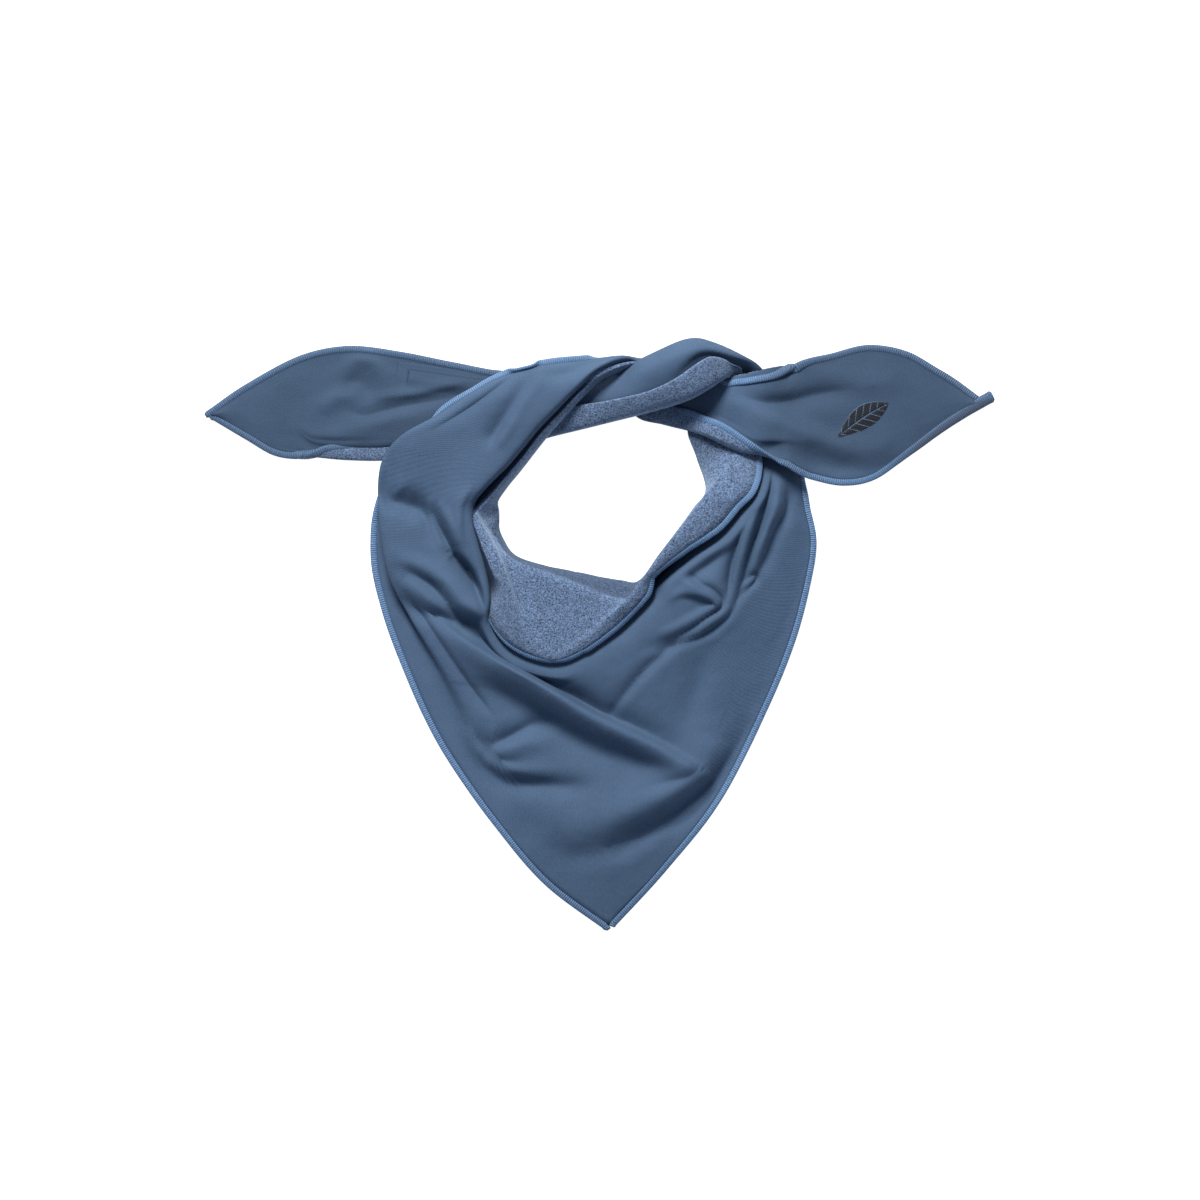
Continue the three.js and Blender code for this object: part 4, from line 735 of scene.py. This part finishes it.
class Paint:
    """A procedural material: nodes are added by node(), and the surface is one Principled shader."""

    def __init__(self, name, roughness, **constants):
        self.material = bpy.data.materials.new(name)
        self.material.use_nodes = True
        self.tree = self.material.node_tree
        self.shader = self.tree.nodes["Principled BSDF"]
        self.shader.inputs["Roughness"].default_value = roughness
        for key, value in constants.items():
            self.shader.inputs[key.replace("_", " ")].default_value = value
        self.place = Value(self, self.node("ShaderNodeTexCoord").outputs["Object"])
        self.weave = Value(self, self.node("ShaderNodeUVMap", {"uv_map": "weave"}).outputs["UV"])

    def node(self, kind, settings=None, inputs=()):
        made = self.tree.nodes.new(kind)
        for key, value in (settings or {}).items():
            setattr(made, key, value)
        pairs = inputs.items() if isinstance(inputs, dict) else enumerate(inputs)
        for key, value in pairs:
            if isinstance(value, Value):
                self.tree.links.new(value.socket, made.inputs[key])
            else:
                made.inputs[key].default_value = value
        return made

    def axes(self, vector):
        return [Value(self, s) for s in self.node("ShaderNodeSeparateXYZ", None, [vector]).outputs]

    def noise(self, vector, size, detail=2):
        """Smooth noise, about 0 to 1, with lumps of this size in metres."""
        made = self.node("ShaderNodeTexNoise", None, {"Vector": vector, "Scale": 1 / size, "Detail": detail})
        return Value(self, made.outputs[0])

    def attribute(self, name):
        return Value(self, self.node("ShaderNodeAttribute", {"attribute_name": name}).outputs["Fac"])

    def blend(self, a, b, share):
        """Colour a where share is 0 and b where it is 1."""
        made = self.node("ShaderNodeMix", {"data_type": "RGBA"}, {0: share, 6: a, 7: b})
        return Value(self, made.outputs[2])

    def tint(self, colour, strength):
        """A colour made lighter or darker by a factor that varies over the surface."""
        made = self.node("ShaderNodeVectorMath", {"operation": "SCALE"}, {0: colour, "Scale": strength})
        return Value(self, made.outputs[0])

    def surface(self, colour, height, distance=MM, shadow=None):
        """Colour and relief, whose height of 1 stands for distance in metres. Where shadow is 1 the surface
        is painted the dark shade of a deep gap."""
        self.tree.links.new(colour.socket, self.shader.inputs["Base Color"])
        bump = self.node("ShaderNodeBump", None, {"Height": height, "Distance": distance, "Strength": 1.0})
        self.tree.links.new(bump.outputs[0], self.shader.inputs["Normal"])
        if shadow is not None:
            # Painted shadow: a dark diffuse surface mixed in where the gap lies in shade
            gap = Value(self, self.node("ShaderNodeBsdfDiffuse", None, {"Color": PAINTED_GAP_SHADOW}).outputs[0])
            lit = Value(self, self.shader.outputs[0])
            made = self.node("ShaderNodeMixShader", None, [shadow, lit, gap])
            self.tree.links.new(made.outputs[0], self.tree.nodes["Material Output"].inputs["Surface"])
        return self.material


# Colours, in linear light
SMOOTH = (0.0465, 0.0795, 0.135)
FLEECE = (0.074, 0.112, 0.188)
THREAD = (0.078, 0.155, 0.285)
NAVY = (0.004, 0.007, 0.014)
# PAINTED_GAP_SHADOW is the painted dark of shade in the gap beside the roll, not a colour of the cloth
PAINTED_GAP_SHADOW = (0.008, 0.014, 0.03, 1)

# Stitched patch behind the left tail, which presses through, in metres: its middle and turn, and for its
# raised field and its hem the half length, half width and share of the relief and of the painted shade
PATCH_X, PATCH_Y, PATCH_TURN = -0.0906, 0.1504, np.deg2rad(-8)
PATCH_RINGS = [(0.0252, 0.0056, 1.0), (0.032, 0.0098, 0.5)]


def tails_shade_mask(paint):
    """Mask of painted shade where the light falls off: 1 on the two tails laid flat, 0.6 at the front tip, 0
    on the knot, the collar and the front.
    """
    x, y, z = paint.axes(paint.place)
    low = z.ramp(0.008, 0.013, (1, 0))
    tails = low.math("MAXIMUM", x.ramp(0.085, 0.11)) * y.ramp(0.09, 0.108)
    return tails.math("MAXIMUM", y.ramp(-0.17, -0.10, (0.6, 0)))


def pressed_patch(paint):
    """Relief of the patch, and the painted shade in the crease along the upper lines of its two outlines."""
    x, y, z = paint.axes(paint.place)
    cos, sin = np.cos(PATCH_TURN), np.sin(PATCH_TURN)
    along = (x - PATCH_X) * cos + (y - PATCH_Y) * sin
    over = (y - PATCH_Y) * cos - (x - PATCH_X) * sin
    on_tail = z.ramp(0.0105, 0.0125, (1, 0))
    relief, shade = 0, 1
    for half_length, half_width, depth in PATCH_RINGS:
        past = (along.math("ABSOLUTE") - half_length).math("MAXIMUM", over - half_width)
        upper = over.ramp(-0.006, 0.001) * on_tail * depth
        relief = past.ramp(-0.0010, 0.0002, (1, 0)) * upper * 0.9 + relief
        # Painted shade in the crease along the upper line of the outline
        shade = (1 - past.math("ABSOLUTE").ramp(0.0001, 0.0010, (1, 0)) * upper * 0.26) * shade
    return relief, shade


def knit_material():
    """Smooth outer face: very fine ribs across the cloth and along it, faint mottling and puckers, painted
    shade beside the stitched edges and on the tails, and the pressed outline of a patch with painted shade
    along it."""
    paint = Paint("smooth_knit", 0.82, Sheen_Weight=0.0, Specular_IOR_Level=0.12)
    u, v, _ = paint.axes(paint.weave)
    rib = (u + v * 0.15).wave(0.0011)
    cross = (v - u * 0.1).wave(0.0008)
    grain = paint.noise(paint.weave, 0.0009, 3)
    mottle = paint.noise(paint.place, 0.018, 3)
    pucker = paint.noise(paint.place, 0.02, 2)
    relief, patch_outline_shade = pressed_patch(paint)
    shade = (mottle - 0.5) * 0.2 + (grain - 0.5) * 0.6 + (rib - 0.5) * 0.06 + 1
    # Painted shade beside the stitched edges, where the bindings shade the cloth
    shade = shade * paint.attribute("rim_distance").ramp(0.0002, 0.0022, (0.45, 1))
    # Painted shade on the tails and the tip, where the light falls off
    shade = shade * (1 - tails_shade_mask(paint) * 0.28) * patch_outline_shade
    height = rib * 0.05 + cross * 0.03 + grain * 0.12 + pucker * 1.1 + relief
    return paint.surface(paint.tint(SMOOTH, shade), height)


def fleece_material():
    """Brushed inner face: short fibres in a heather of lighter and darker blue, and painted shade in the gap
    beside the roll, down the collar's far wall and on the tails.
    """
    paint = Paint("brushed_fleece", 0.95, Sheen_Weight=0.3, Sheen_Roughness=0.6,
                  Sheen_Tint=(0.62, 0.8, 1, 1), Specular_IOR_Level=0.1)
    fibre = paint.noise(paint.place, 0.0009, 4)
    tuft = paint.noise(paint.place, 0.0035, 3)
    mottle = paint.noise(paint.place, 0.012, 2)
    shade = (fibre - 0.5) * 4.3 + (tuft - 0.5) * 0.8 + (mottle - 0.5) * 0.2 + 1
    # Painted shade on the tails and the tip, where the light falls off
    shade = shade * (1 - tails_shade_mask(paint) * 0.25)
    height = fibre * 0.5 + tuft * 0.5
    # The deep-shade attribute mixes in painted shadow in the gap and on the far wall
    return paint.surface(paint.tint(FLEECE, shade), height, shadow=paint.attribute("painted_deep_shade"))


def thread_material(name, colour, pitch, depth):
    """Thread laid in close stitches along a piece, with painted shade between one stitch and the next. Along
    the lower edge of the right tail the fleece curls over the upper part of its section."""
    paint = Paint(name, 0.6, Sheen_Weight=0.1, Specular_IOR_Level=0.35)
    u, around, _ = paint.axes(paint.weave)
    grain = paint.noise(paint.place, 0.0012, 2)
    stitch = (u + (grain - 0.5) * 0.0006).wave(pitch * MM)
    # Painted shade in the grooves between stitches, as deep as depth
    shade = stitch.ramp(0.0, 0.7, (1 - depth, 1.04)) * ((grain - 0.5) * 0.5 + 1)
    # Painted shade on the bindings of the tails and the tip, where the light falls off
    shade = shade * (1 - tails_shade_mask(paint) * 0.42)
    x, y, _ = paint.axes(paint.place)
    curled = x.ramp(0.182, 0.192) * y.ramp(0.1395, 0.1435, (1, 0)) * around.ramp(0.29, 0.33, (1, 0))
    tint = paint.blend(paint.tint(colour, shade), paint.tint(FLEECE, shade), curled * 0.85)
    return paint.surface(tint, stitch * 0.25 + grain * 0.2)


# Leaf of raised satin stitches on the right tail, with veins in light stitches: sizes and pitches in mm, the
# place of its middle on the drawing grid, and its light outline and midrib as shares of the half width
LEAF_LENGTH, LEAF_WIDTH, LEAF_BEND, LEAF_TIP_WIDTH = 38, 15, 1.2, 0.35
LEAF_X, LEAF_Y, LEAF_TURN = 862, 421, np.deg2rad(34)
LEAF_SLANT, SATIN_PITCH = 0.9, 3.2
VEIN_PITCH, VEIN_WIDTH = 5.2, 0.55
OUTLINE_SHARE, MIDRIB_SHARE = 0.88, 0.04


def heights_on(surface, x, y):
    """Height of a fine grid of points at plan positions: the mean of the four nearest, weighted by the
    inverse of their distance squared."""
    near = surface.reshape(-1, 3)
    away = (x.reshape(-1, 1) - near[None, :, 0]) ** 2 + (y.reshape(-1, 1) - near[None, :, 1]) ** 2
    close = np.argpartition(away, 4, axis=1)[:, :4]
    weight = 1 / (np.take_along_axis(away, close, 1) + 1e-8)
    return ((near[close, 2] * weight).sum(1) / weight.sum(1)).reshape(x.shape)


def build_leaf(tail, materials):
    """A closed plate over the cloth: half width W / 2 * sin(pi * t ** 1.25) ** 0.85 along a bent midrib,
    domed by sqrt(1 - s ** 2) across it with a groove along the midrib, and rippled by slanting stitches."""
    t = np.linspace(0, 1, 70)
    s = np.linspace(-1, 1, 41)
    half = np.maximum(LEAF_TIP_WIDTH, LEAF_WIDTH / 2 * np.sin(np.pi * t ** 1.25).clip(0) ** 0.85)
    across_half = s[None] * half[:, None]
    along = (t[:, None] - 0.5) * LEAF_LENGTH + 0 * s
    side = across_half + LEAF_BEND * np.sin(np.pi * t)[:, None]
    cos, sin = np.cos(LEAF_TURN), np.sin(LEAF_TURN)
    x = (LEAF_X - GRID_X0) * GRID + (along * cos - side * sin) * MM
    y = (GRID_Y0 - LEAF_Y) * GRID + (along * sin + side * cos) * MM
    base = heights_on(tail, x, y)
    slanted = along - np.abs(across_half) * LEAF_SLANT
    dome = np.sqrt(np.clip(1 - s[None] ** 2, 0, 1)) * (1 - 0.75 * np.exp(-across_half ** 2 / 0.35))
    top = base + (0.55 + 0.75 * dome * (1 + 0.12 * np.cos(slanted / SATIN_PITCH * 2 * np.pi))) * MM
    bottom = base + 0.1 * MM
    rows, columns = x.shape
    index = np.arange(x.size).reshape(x.shape)
    ring = np.r_[index[0, :-1], index[:-1, -1], index[-1, :0:-1], index[:0:-1, 0]]
    after = np.roll(ring, -1)
    faces = np.concatenate([grid_faces(rows, columns, flip=True), grid_faces(rows, columns, start=x.size),
                            np.stack([ring, after, after + x.size, ring + x.size], -1)]).tolist()
    points = np.concatenate([np.stack([x, y, z], -1).reshape(-1, 3) for z in (top, bottom)])
    uv = np.stack([along - np.abs(side) * 0.8, side], -1).reshape(-1, 2) * MM
    middle = np.abs((s[:-1] + s[1:]) / 2)
    vein = np.mod(slanted, VEIN_PITCH)[:-1, :-1] < VEIN_WIDTH
    light = (vein | (middle > OUTLINE_SHARE) | (middle < MIDRIB_SHARE)).ravel()
    kind = np.r_[light, np.zeros((rows - 1) * (columns - 1)), np.ones(len(ring))]
    return add_piece("embroidered_leaf", points, faces, np.concatenate([uv, uv]), materials, kind)


scarf = build_cloth([knit_material(), fleece_material()])
thread = thread_material("overlock_thread", THREAD, STITCH_PITCH, 0.35)
# Columns: name, rail, place, first section, last section, widths, lengths of the two thread ends in mm
bindings = [build_binding(*row, thread) for row in (
    ("neck_edge_binding", NECK_EDGE, 0, 0, LAST_SECTION, KNOT_SQUEEZE, (2.2, 9.8)),
    ("right_edge_binding", SHORT_EDGE, RIM_KNOT, 0, 22.97, SHORT_EDGE_SQUEEZE, (4, 1)),
    ("left_edge_binding", SHORT_EDGE, RIM_KNOT, 23.03, LAST_SECTION, SHORT_EDGE_SQUEEZE, (3, 1.5)),
)]
tail = cloth(even_sections(RIGHT_TAIL_START, 49.5, 90, [ROLL]), np.linspace(ROLL_KNOT, RIM_KNOT, 90)[None])
leaf = build_leaf(tail, [thread_material("satin_embroidery", NAVY, 0.7, 0.5), thread])

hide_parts("scarf_cloth")
for piece in bindings:
    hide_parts(piece.name.split(".")[0])
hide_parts("embroidered_leaf")

# Floor, light and camera
CAMERA_HEIGHT, CAMERA_LENS, SENSOR_WIDTH = 5, 250, 36
KEY_PLACE, KEY_SIZE, KEY_ENERGY, KEY_COLOUR = (-0.4, 1.8, 1.7), 0.9, 128, (1, 0.975, 0.94)
SKY_COLOUR, SKY_STRENGTH = (0.80, 0.92, 1.14, 1), 0.38

floor_paint =Paint("pale_floor", 0.9, Base_Color=(0.45, 0.45, 0.45, 1), Emission_Color=(1, 1, 1, 1),
                    Emission_Strength=0.93)
bpy.ops.mesh.primitive_plane_add(size=8, location=(0, 0, -0.0004))
floor = bpy.context.object
floor.name = "floor"
floor.data.materials.append(floor_paint.material)
world = bpy.data.worlds.new("studio")
bpy.context.scene.world = world
world.use_nodes = True
world.node_tree.nodes["Background"].inputs["Color"].default_value = SKY_COLOUR
world.node_tree.nodes["Background"].inputs["Strength"].default_value = SKY_STRENGTH
key = add_object("key_light", bpy.data.lights.new("key_light", "AREA"))
key.data.shape = "DISK"
key.data.size = KEY_SIZE
key.data.energy = KEY_ENERGY
key.data.color = KEY_COLOUR
key.location = KEY_PLACE
key.rotation_euler = Vector(KEY_PLACE).to_track_quat("Z", "Y").to_euler()
camera = add_object("camera", bpy.data.cameras.new("camera"))
camera.data.sensor_width = SENSOR_WIDTH
camera.data.lens = CAMERA_LENS
camera.data.clip_end = 10 * CAMERA_HEIGHT
camera.location = (0, (GRID_Y0 - 600) * GRID, CAMERA_HEIGHT)
bpy.context.scene.camera = camera
bpy.context.scene.view_settings.view_transform = "Standard"
